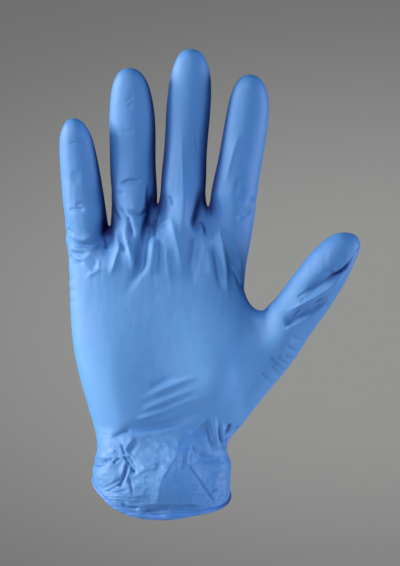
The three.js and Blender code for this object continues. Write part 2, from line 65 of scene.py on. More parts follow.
class QuadSurface:
    """A surface of four-sided faces that Catmull-Clark subdivision makes smooth."""

    def __init__(self, points: np.ndarray, quads: np.ndarray) -> None:
        """Keeps the surface's arrays.

        Args:
            points: (n, 3) places in millimetres.
            quads: (m, 4) point numbers, in turn round each face as seen from outside.
        """
        self.points = points
        self.quads = quads

    @cached_property
    def edges(self) -> tuple[np.ndarray, np.ndarray, np.ndarray]:
        """Numbers every edge once.

        Returns:
            The (e, 2) ends of each edge, the (m, 4) number of the edge that leaves each corner of each face,
            and for each edge whether it lies on the open rim.
        """
        starts = self.quads.ravel()
        ends = np.roll(self.quads, -1, axis=1).ravel()
        count = len(self.points)
        keys = np.minimum(starts, ends) * count + np.maximum(starts, ends)
        keys, number = np.unique(keys, return_inverse=True)
        pairs = np.stack([keys // count, keys % count], axis=1)
        return pairs, number.reshape(-1, 4), np.bincount(number.ravel()) == 1

    def gather(self, numbers: np.ndarray, values: np.ndarray) -> np.ndarray:
        """Adds up, for each point, the rows of values that carry its number.

        Args:
            numbers: (k,) point numbers.
            values: (k, d) rows to add.

        Returns:
            (n, d) sums.
        """
        size = len(self.points)
        return np.stack([np.bincount(numbers, column, size) for column in values.T], axis=1)

    @cached_property
    def around(self) -> tuple[np.ndarray, ...]:
        """What surrounds each point.

        Returns:
            The (n, 1) count of faces, the (n, 3) sum of its neighbours along edges, each inner one counted
            twice, the (n, 3) sum of the far corners of its faces, the (n, 3) sum of its two neighbours on
            the rim, and (n, 1) whether it lies on the rim.
        """
        corners = self.quads.ravel()
        places = self.points[self.quads]
        beside = (np.roll(places, -1, axis=1) + np.roll(places, 1, axis=1)).reshape(-1, 3)
        across = np.roll(places, 2, axis=1).reshape(-1, 3)
        faces = np.bincount(corners, minlength=len(self.points))[:, None].astype(float)
        ends, _, open_rim = self.edges
        rim_ends = ends[open_rim]
        rim = self.gather(rim_ends.ravel(), self.points[rim_ends[:, ::-1].ravel()])
        on_rim = np.bincount(rim_ends.ravel(), minlength=len(self.points))[:, None] > 0
        return faces, self.gather(corners, beside), self.gather(corners, across), rim, on_rim

    def limit(self) -> np.ndarray:
        """Where endless subdivision takes each point.

        Inside, with n faces: (n squared times the point, plus 4 times its neighbours, plus the far corners)
        over n (n + 5). On the rim: 4 times the point plus its two neighbours, over 6.

        Returns:
            (n, 3) places.
        """
        n, beside, across, rim, on_rim = self.around
        inside = (n * n * self.points + 2 * beside + across) / (n * (n + 5))
        return np.where(on_rim, (rim + 4 * self.points) / 6, inside)

    def through(self, rounds: int) -> "QuadSurface":
        """Moves the cage until its smooth surface passes through the cage's own places.

        Args:
            rounds: How often what is missing is added.

        Returns:
            The cage to subdivide.
        """
        moved = QuadSurface(self.points, self.quads)
        for _ in range(rounds):
            moved = QuadSurface(moved.points + self.points - moved.limit(), self.quads)
        return moved

    def subdivided(self) -> "QuadSurface":
        """One step of Catmull-Clark subdivision.

        The new points are this surface's own, then one for each face, its centre, then one for each edge,
        the mean of its ends and the centres beside it. With n faces round it, an own point goes to its place
        times 1 - 7 / 4n, plus 6 times its neighbours and the far corners over 4n squared. On the rim it goes
        to 6 times its place plus its two neighbours, over 8, and an edge's point is its middle. Face f
        becomes faces 4f to 4f + 3, in the order of its corners.

        Returns:
            The finer surface.
        """
        n, beside, across, rim, on_rim = self.around
        inside = (3 * beside + across) / (4 * n * n) + self.points * (1 - 7 / (4 * n))
        kept = np.where(on_rim, (rim + 6 * self.points) / 8, inside)
        centres = self.points[self.quads].mean(axis=1)
        ends, number, open_rim = self.edges
        halves = self.points[ends].mean(axis=1)
        beyond = np.zeros_like(halves)
        np.add.at(beyond, number.ravel(), np.repeat(centres, 4, axis=0))
        middles = np.where(open_rim[:, None], halves, (2 * halves + beyond) / 4)
        face = np.repeat(np.arange(len(self.quads))[:, None], 4, axis=1) + len(self.points)
        edge = number + len(self.points) + len(self.quads)
        quads = np.stack([self.quads, edge, face, np.roll(edge, 1, axis=1)], axis=2).reshape(-1, 4)
        return QuadSurface(np.concatenate([kept, centres, middles]), quads)

    def face_normals(self) -> np.ndarray:
        """(m, 3) products of each face's diagonals, which point outwards."""
        a, b, c, d = np.moveaxis(self.points[self.quads], 1, 0)
        return np.cross(c - a, d - b)

    def normals(self) -> np.ndarray:
        """(n, 3) unit normals at the points, each the sum of its faces' products."""
        sums = self.gather(self.quads.ravel(), np.repeat(self.face_normals(), 4, axis=0))
        return sums / np.linalg.norm(sums, axis=1, keepdims=True)

    def rim_loop(self) -> np.ndarray:
        """The open rim as a closed line, its points in the order of their angle round +Z.

        Returns:
            Numbers of its points, from the lowest number.
        """
        ends, _, open_rim = self.edges
        loop = np.unique(ends[open_rim])
        loop = loop[np.argsort(np.arctan2(self.points[loop, 1], self.points[loop, 0]))]
        return np.roll(loop, -loop.argmin())

    def sunk(self, depth: float, ease: float) -> np.ndarray:
        """Places a depth under the surface, mitred so that sharp valleys move further than flat places.

        Each point solves for the move whose reach along every face's normal round it is the depth, in the
        least-squares sense; ease is added to the equations' diagonal so that the sharpest stay in bounds.

        Args:
            depth: Distance inwards in millimetres.
            ease: Share of a face's weight that holds the point back.

        Returns:
            (n, 3) places.
        """
        across = self.face_normals()
        across /= np.linalg.norm(across, axis=1, keepdims=True)
        products = (across[:, :, None] * across[:, None, :]).reshape(-1, 9)
        corners = self.quads.ravel()
        matrices = self.gather(corners, np.repeat(products, 4, axis=0)).reshape(-1, 3, 3)
        sums = self.gather(corners, np.repeat(across, 4, axis=0))
        matrices += ease * self.around[0][:, :, None] * np.eye(3)
        return self.points - depth * (1 + ease) * np.linalg.solve(matrices, sums[:, :, None])[:, :, 0]


class CageBuilder:
    """Collects rings of points and the four-sided faces between them."""

    def __init__(self) -> None:
        """Starts empty."""
        self.blocks: list[np.ndarray] = []
        self.faces: list[np.ndarray] = []
        self.count = 0

    def add(self, places: np.ndarray) -> np.ndarray:
        """Adds points.

        Args:
            places: (k, 3) places.

        Returns:
            Their (k,) numbers.
        """
        self.blocks.append(places)
        self.count += len(places)
        return np.arange(self.count - len(places), self.count)

    def place(self, number: int) -> np.ndarray:
        """The place of one point that was added."""
        return np.concatenate(self.blocks)[number]

    def band(self, lower: np.ndarray, upper: np.ndarray, kept: np.ndarray | None = None) -> None:
        """Joins two rings of the same count.

        Args:
            lower: Point numbers of one ring, in turn round +Z.
            upper: Point numbers of the ring past it.
            kept: Which of the faces are made, or None for all.
        """
        band = np.stack([lower, np.roll(lower, -1), np.roll(upper, -1), upper], axis=1)
        self.faces.append(band if kept is None else band[kept])

    def cap(self, ring: np.ndarray, centre: int) -> None:
        """Closes a ring of an even count with four-sided faces round one point."""
        even, odd = ring[::2], ring[1::2]
        self.faces.append(np.stack([even, odd, np.roll(even, -1), np.full_like(even, centre)], axis=1))

    def surface(self) -> QuadSurface:
        """The cage as a surface, without the points that no face uses."""
        used, quads = np.unique(np.concatenate(self.faces), return_inverse=True)
        return QuadSurface(np.concatenate(self.blocks)[used], quads.reshape(-1, 4))


def smoothstep(values: np.ndarray, low: float, high: float) -> np.ndarray:
    """Goes smoothly from 0 at low to 1 at high: t squared times (3 - 2t)."""
    t = np.clip((values - low) / (high - low), 0, 1)
    return t * t * (3 - 2 * t)


def bell(values: np.ndarray, centre: float, width: float) -> np.ndarray:
    """A swell that is 1 at its centre: exp(-((v - centre) / width) squared)."""
    return np.exp(-(((values - centre) / width) ** 2))


# the hand's form


# A finger's section from its front left round to the left, as shares of half its width and depth: nearly an
# ellipse, a little fuller at the back.
FINGER_SECTION = (
    (-0.7, -0.7),
    (0.0, -1.0),
    (0.7, -0.7),
    (1.0, 0.05),
    (0.74, 0.74),
    (0.0, 1.0),
    (-0.74, 0.74),
    (-1.0, 0.05),
)


@dataclass(frozen=True)
class Finger:
    """One finger as level sections, from just above the web to the tip.

    Attributes:
        sections: Rows of centre x, y and z, width across the palm and depth front to back.
        tip: The fingertip.
    """

    sections: tuple[tuple[float, float, float, float, float], ...]
    tip: tuple[float, float, float]

    def rings(self) -> np.ndarray:
        """Places on every section: its middle plus half its width and depth times FINGER_SECTION.

        Returns:
            (sections, 8, 3) places, from the front left corner round to the left.
        """
        x, y, z, width, depth = np.array(self.sections).T[:, :, None]
        across, deep = np.array(FINGER_SECTION).T[:, None]
        level = np.broadcast_to(z, (len(z), len(FINGER_SECTION)))
        return np.stack([x + width / 2 * across, y + depth / 2 * deep, level], axis=2)


LITTLE_FINGER = Finger(
    sections=(
        (-37.8, -2.5, 138.6, 21.3, 18.8),
        (-38.9, -2.5, 146.0, 21.0, 17.6),
        (-40.1, -3.0, 156.0, 20.2, 16.6),
        (-41.3, -4.0, 166.0, 19.0, 15.8),
        (-42.4, -5.2, 175.0, 17.2, 14.8),
        (-43.1, -6.4, 181.5, 14.0, 12.6),
        (-43.6, -7.0, 185.9, 8.6, 8.2),
    ),
    tip=(-43.9, -7.2, 188.0),
)
RING_FINGER = Finger(
    sections=(
        (-13.7, -1.6, 149.8, 23.0, 19.8),
        (-14.2, -1.0, 157.5, 22.9, 19.0),
        (-14.6, -0.8, 167.5, 22.8, 18.4),
        (-14.7, -1.2, 178.5, 23.0, 17.8),
        (-14.9, -2.4, 189.5, 22.6, 16.8),
        (-15.3, -3.8, 199.0, 20.4, 15.2),
        (-15.7, -5.0, 206.4, 16.6, 12.8),
        (-16.0, -5.6, 211.0, 10.4, 8.4),
    ),
    tip=(-16.1, -5.8, 213.2),
)
MIDDLE_FINGER = Finger(
    sections=(
        (10.5, -1.4, 150.6, 22.8, 20.2),
        (10.9, -0.8, 158.8, 22.4, 19.6),
        (11.6, -0.4, 170.0, 21.5, 18.8),
        (12.5, -0.8, 182.0, 21.6, 18.0),
        (13.3, -2.0, 194.0, 22.0, 17.2),
        (14.1, -3.6, 205.0, 20.8, 15.8),
        (14.5, -5.0, 213.4, 17.8, 13.4),
        (14.5, -5.8, 219.6, 12.0, 9.2),
    ),
    tip=(14.3, -6.0, 222.7),
)
INDEX_FINGER = Finger(
    sections=(
        (35.8, -1.8, 148.4, 23.2, 20.2),
        (36.8, -1.4, 155.6, 22.8, 19.4),
        (38.7, -1.4, 165.0, 22.2, 18.4),
        (40.6, -2.0, 175.5, 22.0, 17.6),
        (42.2, -3.2, 186.0, 21.6, 16.6),
        (43.3, -4.6, 195.5, 20.0, 15.0),
        (43.7, -5.8, 203.0, 16.2, 12.6),
        (43.8, -6.4, 207.6, 10.2, 8.2),
    ),
    tip=(43.6, -6.6, 209.8),
)


@dataclass(frozen=True)
class Thumb:
    """The thumb as sections across it, from the web to the tip.

    Attributes:
        sections: Rows of the upper edge x1 and z1, the lower edge x2 and z2, y of the centre, and depth.
        tip: The thumb's tip.
    """

    sections: tuple[tuple[float, float, float, float, float, float], ...] = (
        (51.4, 92.1, 50.9, 49.4, -3.5, 29.6),
        (53.6, 94.8, 64.2, 65.4, -6.0, 27.4),
        (56.8, 98.6, 72.4, 78.6, -8.8, 24.8),
        (61.2, 104.4, 79.4, 88.4, -11.4, 22.6),
        (67.0, 112.3, 85.8, 98.2, -13.3, 21.7),
        (73.4, 120.3, 90.8, 106.6, -15.0, 20.4),
        (80.2, 126.9, 94.8, 115.0, -16.4, 17.6),
        (87.0, 130.6, 97.6, 121.0, -17.2, 12.8),
    )
    tip: tuple[float, float, float] = (96.4, -17.6, 129.2)

    def rings(self, count: int) -> np.ndarray:
        """Points of every section: an ellipse between its two edges, from the upper edge round the front.

        Args:
            count: Points in a ring.

        Returns:
            (sections, count, 3) places.
        """
        x1, z1, x2, z2, y, depth = np.array(self.sections).T[:, :, None]
        turn = 2 * np.pi * np.arange(count) / count
        up = np.cos(turn)
        x = (x1 + x2) / 2 + (x1 - x2) / 2 * up
        z = (z1 + z2) / 2 + (z1 - z2) / 2 * up
        return np.stack([x, y - depth / 2 * np.sin(turn), z], axis=2)


@dataclass(frozen=True)
class PalmRow:
    """One section of the palm, wrist or cuff.

    Attributes:
        z: Height of the left edge; in the cuff, the share of the way from the last palm row to the rim.
        left: x of the outline at the little finger's side.
        right: x of the outline at the thumb's side.
        front: Reach to the palm side.
        back: Reach to the back of the hand.
        fan: How far the columns follow the fingers (1) rather than an even ring (0).
        thenar: Swell of the thumb's muscle.
        heel: Swell of the heel of the hand.
        side: How far the section stays deep where the thumb leaves it.
    """

    z: float
    left: float
    right: float
    front: float
    back: float
    fan: float = 0
    thenar: float = 0
    heel: float = 0
    side: float = 0


@dataclass(frozen=True)
class Knuckle:
    """One column of the palm at the knuckle line.

    Attributes:
        across: Place over the palm's width from -1 to 1.
        rise: Height over the little finger's web.
        crotch: Whether it is a web between two fingers.
    """

    across: float
    rise: float
    crotch: bool = False


@dataclass(frozen=True)
class RimStation:
    """A place on the rim.

    Attributes:
        turn: Degrees from the left edge round the front.
        z: Height of the rim.
        bead: Height of the bead.
    """

    turn: float
    z: float
    bead: float


RIM = (
    RimStation(0, 8.8, 2.2),
    RimStation(20, 5.0, 2.2),
    RimStation(36, 0.6, 2.4),
    RimStation(52, -4.0, 2.8),
    RimStation(72, -6.9, 3.4),
    RimStation(95, -7.2, 3.5),
    RimStation(125, -5.8, 2.8),
    RimStation(152, -3.6, 2.3),
    RimStation(180, 0.4, 2.2),
    RimStation(225, 7.0, 2.3),
    RimStation(270, 8.8, 2.4),
    RimStation(315, 10.2, 2.3),
)


def rim_value(values: np.ndarray, turn: np.ndarray) -> np.ndarray:
    """A column of the RIM table at any turn, along a smooth closed curve.

    Between two stations it is the cubic that leaves each with the slope between its two neighbours.

    Args:
        values: One value for each station.
        turn: Degrees from the left edge round the front.

    Returns:
        The value at each turn.
    """
    turns = np.array([station.turn for station in RIM])
    count = len(RIM)
    i = np.searchsorted(turns, turn % 360, side="right") - 1

    def station(step: int) -> tuple[np.ndarray, np.ndarray]:
        """Turn and value of the station a number of steps on, counted past the full circle."""
        laps, number = np.divmod(i + step, count)
        return turns[number] + 360 * laps, values[number]

    (t0, v0), (t1, v1), (t2, v2), (t3, v3) = (station(step) for step in (-1, 0, 1, 2))
    span = t2 - t1
    t = (turn % 360 - t1) / span
    leave, arrive, rise = (v2 - v0) / (t2 - t0) * span, (v3 - v1) / (t3 - t1) * span, v2 - v1
    return v1 + t * (leave + t * (3 * rise - 2 * leave - arrive + t * (leave + arrive - 2 * rise)))


@dataclass(frozen=True)
class HandForm:
    """The hand that fills the glove, as a cage of rings: palm and cuff, four fingers and the thumb.

    Attributes:
        palm: Rows from the knuckle line down to the wrist.
        cuff: Rows from the wrist to the rim.
        knuckles: Columns across the palm, from the little finger's side.
        fingers: The fingers, in the same order.
        thumb: The thumb.
        web_row: Row of the palm at the thumb's web, where its opening in the side starts.
        thenar_row: Row where that opening ends.
        side_points: Rows whose point on the thumb side leaves them, and its place: under the index finger,
            in the web, and at the thenar.
        right_rise: Height of the right side over the left in a row that follows the fingers.
        crotch_reach: Share of its reach that the front keeps at a web between two fingers.
        crotch_back_reach: Share that the back keeps there.
        crotch_front_drop: How far the front drops at a web.
        crotch_back_drop: How far the back drops in a row that follows the fingers.
        web_rise: Height of a web's saddle over the front below it.
        web_y: y of the saddle.
        side_reach: Share of its reach that a row keeps at its very side where the thumb leaves it.
        side_span: Places across the palm between which that comes in.
        thenar_swell: Place across the palm and width of the swell of the thumb's muscle.
        heel_swell: The same for the heel of the hand.
        section_power: Roundness of a palm section: 2 is an ellipse, more is squarer.
    """

    palm: tuple[PalmRow, ...] = (
        PalmRow(129.0, -47.8, 45.3, 14.6, 12.6, 1.0, 0, 0, 0),
        PalmRow(116.5, -46.5, 43.0, 15.2, 13.6, 0.82, 0, 0, 0),
        PalmRow(104.0, -46.2, 41.6, 15.8, 14.4, 0.55, 0.6, 0, 0.1),
        PalmRow(91.8, -45.7, 44.5, 16.4, 15.0, 0.3, 2.0, 0.5, 0.45),
        PalmRow(78.0, -44.7, 43.6, 16.8, 15.4, 0.15, 4.0, 1.5, 0.9),
        PalmRow(64.0, -42.3, 41.8, 17.2, 15.8, 0.05, 5.0, 2.5, 1.0),
        PalmRow(50.0, -38.6, 39.2, 17.6, 16.4, 0, 2.8, 3.0, 0.9),
        PalmRow(37.0, -34.7, 39.6, 18.2, 17.0, 0, -0.6, 2.5, 0.35),
        PalmRow(28.6, -32.7, 34.8, 18.8, 17.8, 0, -0.4, 1.0, 0),
        PalmRow(22.8, -32.3, 32.3, 20.0, 18.8, 0, 0, 0, 0),
    )
    cuff: tuple[PalmRow, ...] = (
        PalmRow(0.16, -32.8, 33.6, 21.4, 20.0),
        PalmRow(0.36, -33.7, 34.6, 22.8, 21.8),
        PalmRow(0.57, -34.5, 34.4, 24.0, 23.2),
        PalmRow(0.79, -34.6, 34.2, 24.4, 24.2),
        PalmRow(1.0, -34.4, 34.0, 24.2, 24.6),
    )
    knuckles: tuple[Knuckle, ...] = (
        Knuckle(-0.955, 0.0),
        Knuckle(-0.755, 0.0),
        Knuckle(-0.535, 1.0, crotch=True),
        Knuckle(-0.275, 3.5),
        Knuckle(-0.02, 11.5, crotch=True),
        Knuckle(0.25, 10.0),
        Knuckle(0.52, 10.0, crotch=True),
        Knuckle(0.765, 7.5),
        Knuckle(0.955, 5.5),
    )
    fingers: tuple[Finger, ...] = (LITTLE_FINGER, RING_FINGER, MIDDLE_FINGER, INDEX_FINGER)
    thumb: Thumb = Thumb()
    web_row: int = 3
    thenar_row: int = 7
    side_points: tuple[tuple[int, tuple[float, float, float]], ...] = (
        (2, (41.2, -1.0, 100.0)),
        (3, (48.0, -2.0, 92.0)),
        (7, (41.5, -2.0, 37.2)),
    )
    right_rise: float = 5.5
    crotch_reach: float = 0.42
    crotch_back_reach: float = 0.75
    crotch_front_drop: float = 1.5
    crotch_back_drop: float = 6.5
    web_rise: float = 7.2
    web_y: float = 2.0
    side_reach: float = 0.92
    side_span: Span = (0.3, 0.95)
    thenar_swell: tuple[float, float] = (0.64, 0.38)
    heel_swell: tuple[float, float] = (-0.6, 0.35)
    section_power: float = 2.5

    def palm_ring(self, row: PalmRow) -> np.ndarray:
        """One row as points: front from left to right, right side, back from right to left, left side.

        A point's reach is the row's reach times (1 - |across| to the section's power) to one over that
        power, kept deep towards the thumb by side, plus two bell-shaped swells for the hand's muscles.

        Args:
            row: The row.

        Returns:
            (20, 3) places.
        """
        columns = len(self.knuckles)
        even = -np.cos((np.arange(columns) + 1) * np.pi / (columns + 1))
        fanned = np.array([knuckle.across for knuckle in self.knuckles])
        across = even + (fanned - even) * row.fan
        rise = row.fan * np.array([knuckle.rise for knuckle in self.knuckles])
        web = np.array([knuckle.crotch for knuckle in self.knuckles]) & (row.fan == 1)
        reach = (1 - np.abs(across) ** self.section_power) ** (1 / self.section_power)
        deep = np.maximum(reach, self.side_reach)
        reach += (deep - reach) * row.side * smoothstep(across, *self.side_span)
        swell = row.thenar * bell(across, *self.thenar_swell) + row.heel * bell(across, *self.heel_swell)
        front_pull = np.where(web, self.crotch_reach, 1)
        back_pull = np.where(web, self.crotch_back_reach, 1)
        x = (row.left + row.right) / 2 + (row.right - row.left) / 2 * across
        drop = np.where(web, self.crotch_front_drop, 0)
        forward = (row.front * reach + swell) * front_pull
        front = np.stack([x, -forward, row.z + rise - drop], axis=1)
        low = row.z + rise - row.fan * self.crotch_back_drop
        back = np.stack([x, row.back * reach * back_pull, low], axis=1)[::-1]
        right = [[row.right, 0, row.z + row.fan * self.right_rise]]
        return np.concatenate([front, right, back, [[row.left, 0, row.z]]])

    def cuff_ring(self, row: PalmRow, start: float) -> np.ndarray:
        """One row of the cuff: its heights go from level to the rim's wave by the row's share.

        Args:
            row: The row.
            start: Height of the last palm row.

        Returns:
            (20, 3) places.
        """
        ring = self.palm_ring(row)
        count = len(ring)
        turn = (np.arange(count) + 1) % count * 360 / count
        heights = rim_value(np.array([station.z for station in RIM]), turn)
        ring[:, 2] = start + (heights - start) * row.z
        return ring

    def cage(self) -> QuadSurface:
        """The whole hand as one cage: rings joined by bands, with openings for the fingers and the thumb.

        Returns:
            The cage, open at the cuff's rim.
        """
        cage = CageBuilder()
        rows = [self.palm_ring(row) for row in self.palm]
        rows += [self.cuff_ring(row, self.palm[-1].z) for row in self.cuff]
        columns = len(self.knuckles)
        for row, place in self.side_points:
            rows[row][columns] = place
        rings = [cage.add(ring) for ring in rows]
        turns = np.arange(len(rows[0]))
        beside_thumb = (turns == columns) | (turns == columns - 1)
        for j in range(1, len(rings)):
            opened = self.web_row < j <= self.thenar_row
            cage.band(rings[j], rings[j - 1], ~beside_thumb if opened else None)
        self.add_fingers(cage, rings[0], columns)
        self.add_thumb(cage, rings, columns)
        return cage.surface()

    def add_fingers(self, cage: CageBuilder, top: np.ndarray, columns: int) -> None:
        """Puts the fingers on the palm's top ring, each over three front and three back columns.

        Args:
            cage: The cage to add to.
            top: Numbers of the top ring.
            columns: Columns across the front.
        """
        left = 2 * columns + 1
        webs = [top[left]]
        for column, knuckle in enumerate(self.knuckles):
            if knuckle.crotch:
                x, _, z = cage.place(top[column])
                webs += list(cage.add(np.array([[x, self.web_y, z + self.web_rise]])))
        webs.append(top[columns])
        for f, finger in enumerate(self.fingers):
            c = 2 * f
            front, behind = top[c : c + 3], top[left - 3 - c : left - c]
            ring = np.array([*front, webs[f + 1], *behind, webs[f]])
            for places in finger.rings():
                upper = cage.add(places)
                cage.band(ring, upper)
                ring = upper
            cage.cap(ring, cage.add(np.array([finger.tip]))[0])

    def add_thumb(self, cage: CageBuilder, rings: list[np.ndarray], columns: int) -> None:
        """Puts the thumb on the opening in the palm's side, from the web down the front and up the back.

        Args:
            cage: The cage to add to.
            rings: Numbers of every ring of the palm.
            columns: Columns across the front.
        """
        rows = rings[self.web_row : self.thenar_row + 1]
        front = [row[columns - 1] for row in rows]
        back = [row[columns + 1] for row in rows[::-1]]
        ring = np.array([rows[0][columns], *front, rows[-1][columns], *back])
        for places in self.thumb.rings(len(ring)):
            outer = cage.add(places)
            cage.band(ring, outer)
            ring = outer
        cage.cap(ring, cage.add(np.array([self.thumb.tip]))[0])


# folds of the film


class Crest(Enum):
    """How a fold's cross-section peaks: ROUND is a bell, SHARP comes to a narrow edge."""

    ROUND = "round"
    SHARP = "sharp"


class Side(Enum):
    """The side of the glove that a fold lies on, as the sign of y that its normals have."""

    PALM = -1
    BACK = 1


# A fold is seen from here, so that its path is where it shows in the picture plane y = 0.
VIEWPOINT = np.array([19.0, -1200.0, 106.0])
FACING = (-0.3, 0.3)  # share of y in a normal, towards the fold's side, between which the fold comes in
FOLD_REACH = 3  # widths from the path at which a fold has died out
FADE_START = -0.02  # share of the length where a fade starts, just past the path's end, so that it isn't 0


@dataclass(frozen=True)
class Fold:
    """One fold of the film, pressed in or out along a smooth path over the picture plane.

    Paths run upwards or to the right, so a fold's left side is the one towards the light.

    Attributes:
        height: Out of the surface for a ridge, into it for a groove.
        left: Spread to the left of the path.
        right: Spread to its right.
        path: Points x, z.
        crest: Shape of the cross-section.
        fade: Shares of the length over which the fold rises at its start and dies out at its end.
    """

    height: float
    left: float
    right: float
    path: Path
    crest: Crest = Crest.ROUND
    fade: Span = (0.3, 0.3)

    def curve(self, steps: int = 6) -> np.ndarray:
        """The path as a smooth curve: between two points, the cubic with its neighbours' slopes.

        Args:
            steps: Pieces between two points.

        Returns:
            (k, 2) points.
        """
        p = np.array(self.path)
        padded = np.concatenate([[2 * p[0] - p[1]], p, [2 * p[-1] - p[-2]]])
        a, b, c, d = (padded[i : len(padded) - 3 + i, None] for i in range(4))
        t = (np.arange(steps) / steps)[None, :, None]
        inside = b + t / 2 * (c - a + t * (2 * a - 5 * b + 4 * c - d + t * (3 * (b - c) + d - a)))
        return np.concatenate([inside.reshape(-1, 2), p[-1:]])

    def lift(self, flat: np.ndarray) -> tuple[np.ndarray, np.ndarray]:
        """The fold's height at places of the picture plane near it.

        Across the path it is height times a bell, exp(-(d / width) squared), or an edge, exp(-|d| / width),
        with the width of the side that d is on. Along the path it fades at both ends.

        Args:
            flat: (n, 2) places x, z.

        Returns:
            Numbers of the places near the fold, and the height at each.
        """
        line = self.curve()
        reach = FOLD_REACH * max(self.left, self.right)
        near = np.flatnonzero(np.all((flat > line.min(0) - reach) & (flat < line.max(0) + reach), axis=1))
        here = flat[near][:, None]
        start, along = line[:-1], np.diff(line, axis=0)
        share = np.clip(((here - start) * along).sum(2) / (along * along).sum(1), 0, 1)
        away = here - start - share[:, :, None] * along
        squared = (away * away).sum(2)
        piece = squared.argmin(axis=1)
        rows = np.arange(len(near))
        share, away, along = share[rows, piece], away[rows, piece], along[piece]
        right = along[:, 1] * away[:, 0] - along[:, 0] * away[:, 1] > 0
        d = np.sqrt(squared[rows, piece]) / np.where(right, self.right, self.left)
        peak = np.exp(-d) if self.crest is Crest.SHARP else np.exp(-d * d)
        place = (piece + share) / (len(line) - 1)
        rising = smoothstep(place, FADE_START, self.fade[0]) if self.fade[0] else 1
        dying = smoothstep(1 - place, FADE_START, self.fade[1]) if self.fade[1] else 1
        return near, self.height * peak * rising * dying


SHARP = Crest.SHARP  # short, for the rows below

# Little finger: creases of its joints, the rolls at its base, the loop of film below and the rippled edge.
LITTLE_FINGER_FOLDS = (
    Fold(-0.5, 0.6, 0.9, ((-46.5, 176), (-42.5, 176.3), (-38.5, 175.8))),
    Fold(-0.4, 1.6, 2.2, ((-42, 155), (-43.5, 159), (-42.5, 162.5))),
    Fold(-0.5, 0.6, 1.4, ((-43.6, 144.6), (-40.2, 146.2), (-34, 145.2))),
    Fold(-0.7, 0.6, 1.2, ((-47, 142.6), (-43, 143.1), (-38.8, 143)), fade=(0.2, 0.2)),
    Fold(0.9, 0.9, 0.7, ((-48, 132.5), (-44, 128.8), (-40.2, 127.4), (-36.5, 128.8), (-30, 131)), SHARP),
    Fold(-1.0, 0.5, 0.6, ((-47.5, 133.5), (-44.5, 130.5))),
    Fold(-1.6, 1.6, 1.5, ((-45, 126.2), (-38, 124.6), (-32, 125.2), (-28.6, 127))),
    Fold(1.4, 0.9, 0.7, ((-47, 123), (-41, 122.8), (-35.4, 123.4), (-28.8, 127)), SHARP, (0.2, 0.1)),
    Fold(-1.2, 0.6, 0.7, ((-27.8, 122.5), (-27.4, 128.5))),
    Fold(-0.9, 0.7, 0.9, ((-45.6, 121.6), (-41, 120.6), (-37, 121.5))),
    Fold(0.6, 0.8, 0.9, ((-45.5, 119.2), (-41, 117.7), (-36.4, 119.8), (-35.6, 121.8)), SHARP),
    Fold(-1.1, 0.6, 0.8, ((-47, 120.5), (-43.5, 116.8), (-39, 116.4))),
    Fold(-0.8, 2.6, 1.6, ((-36, 112.5), (-31.5, 117))),
    Fold(0.8, 0.7, 0.6, ((-38.5, 107.9), (-34.4, 110.9), (-29.6, 113.4)), SHARP),
    Fold(0.7, 0.5, 0.5, ((-31.6, 113.6), (-31.8, 117.2)), SHARP),
    Fold(-1.0, 1.0, 1.2, ((-52, 131.5), (-46, 131.5)), fade=(0, 0.6)),
    Fold(1.0, 1.4, 1.4, ((-52, 127.2), (-46, 127)), fade=(0, 0.6)),
    Fold(-1.0, 0.9, 1.0, ((-52, 118.6), (-46, 117.5)), fade=(0, 0.6)),
    Fold(0.9, 1.6, 1.4, ((-52, 115), (-45, 113)), fade=(0, 0.6)),
    Fold(-0.7, 1.0, 1.2, ((-52, 110.5), (-42, 107)), fade=(0, 0.7)),
    Fold(-0.7, 0.9, 1.0, ((-52, 104.2), (-41, 101)), fade=(0, 0.7)),
    Fold(-0.5, 0.8, 0.9, ((-52, 98.5), (-41, 96)), fade=(0, 0.7)),
)
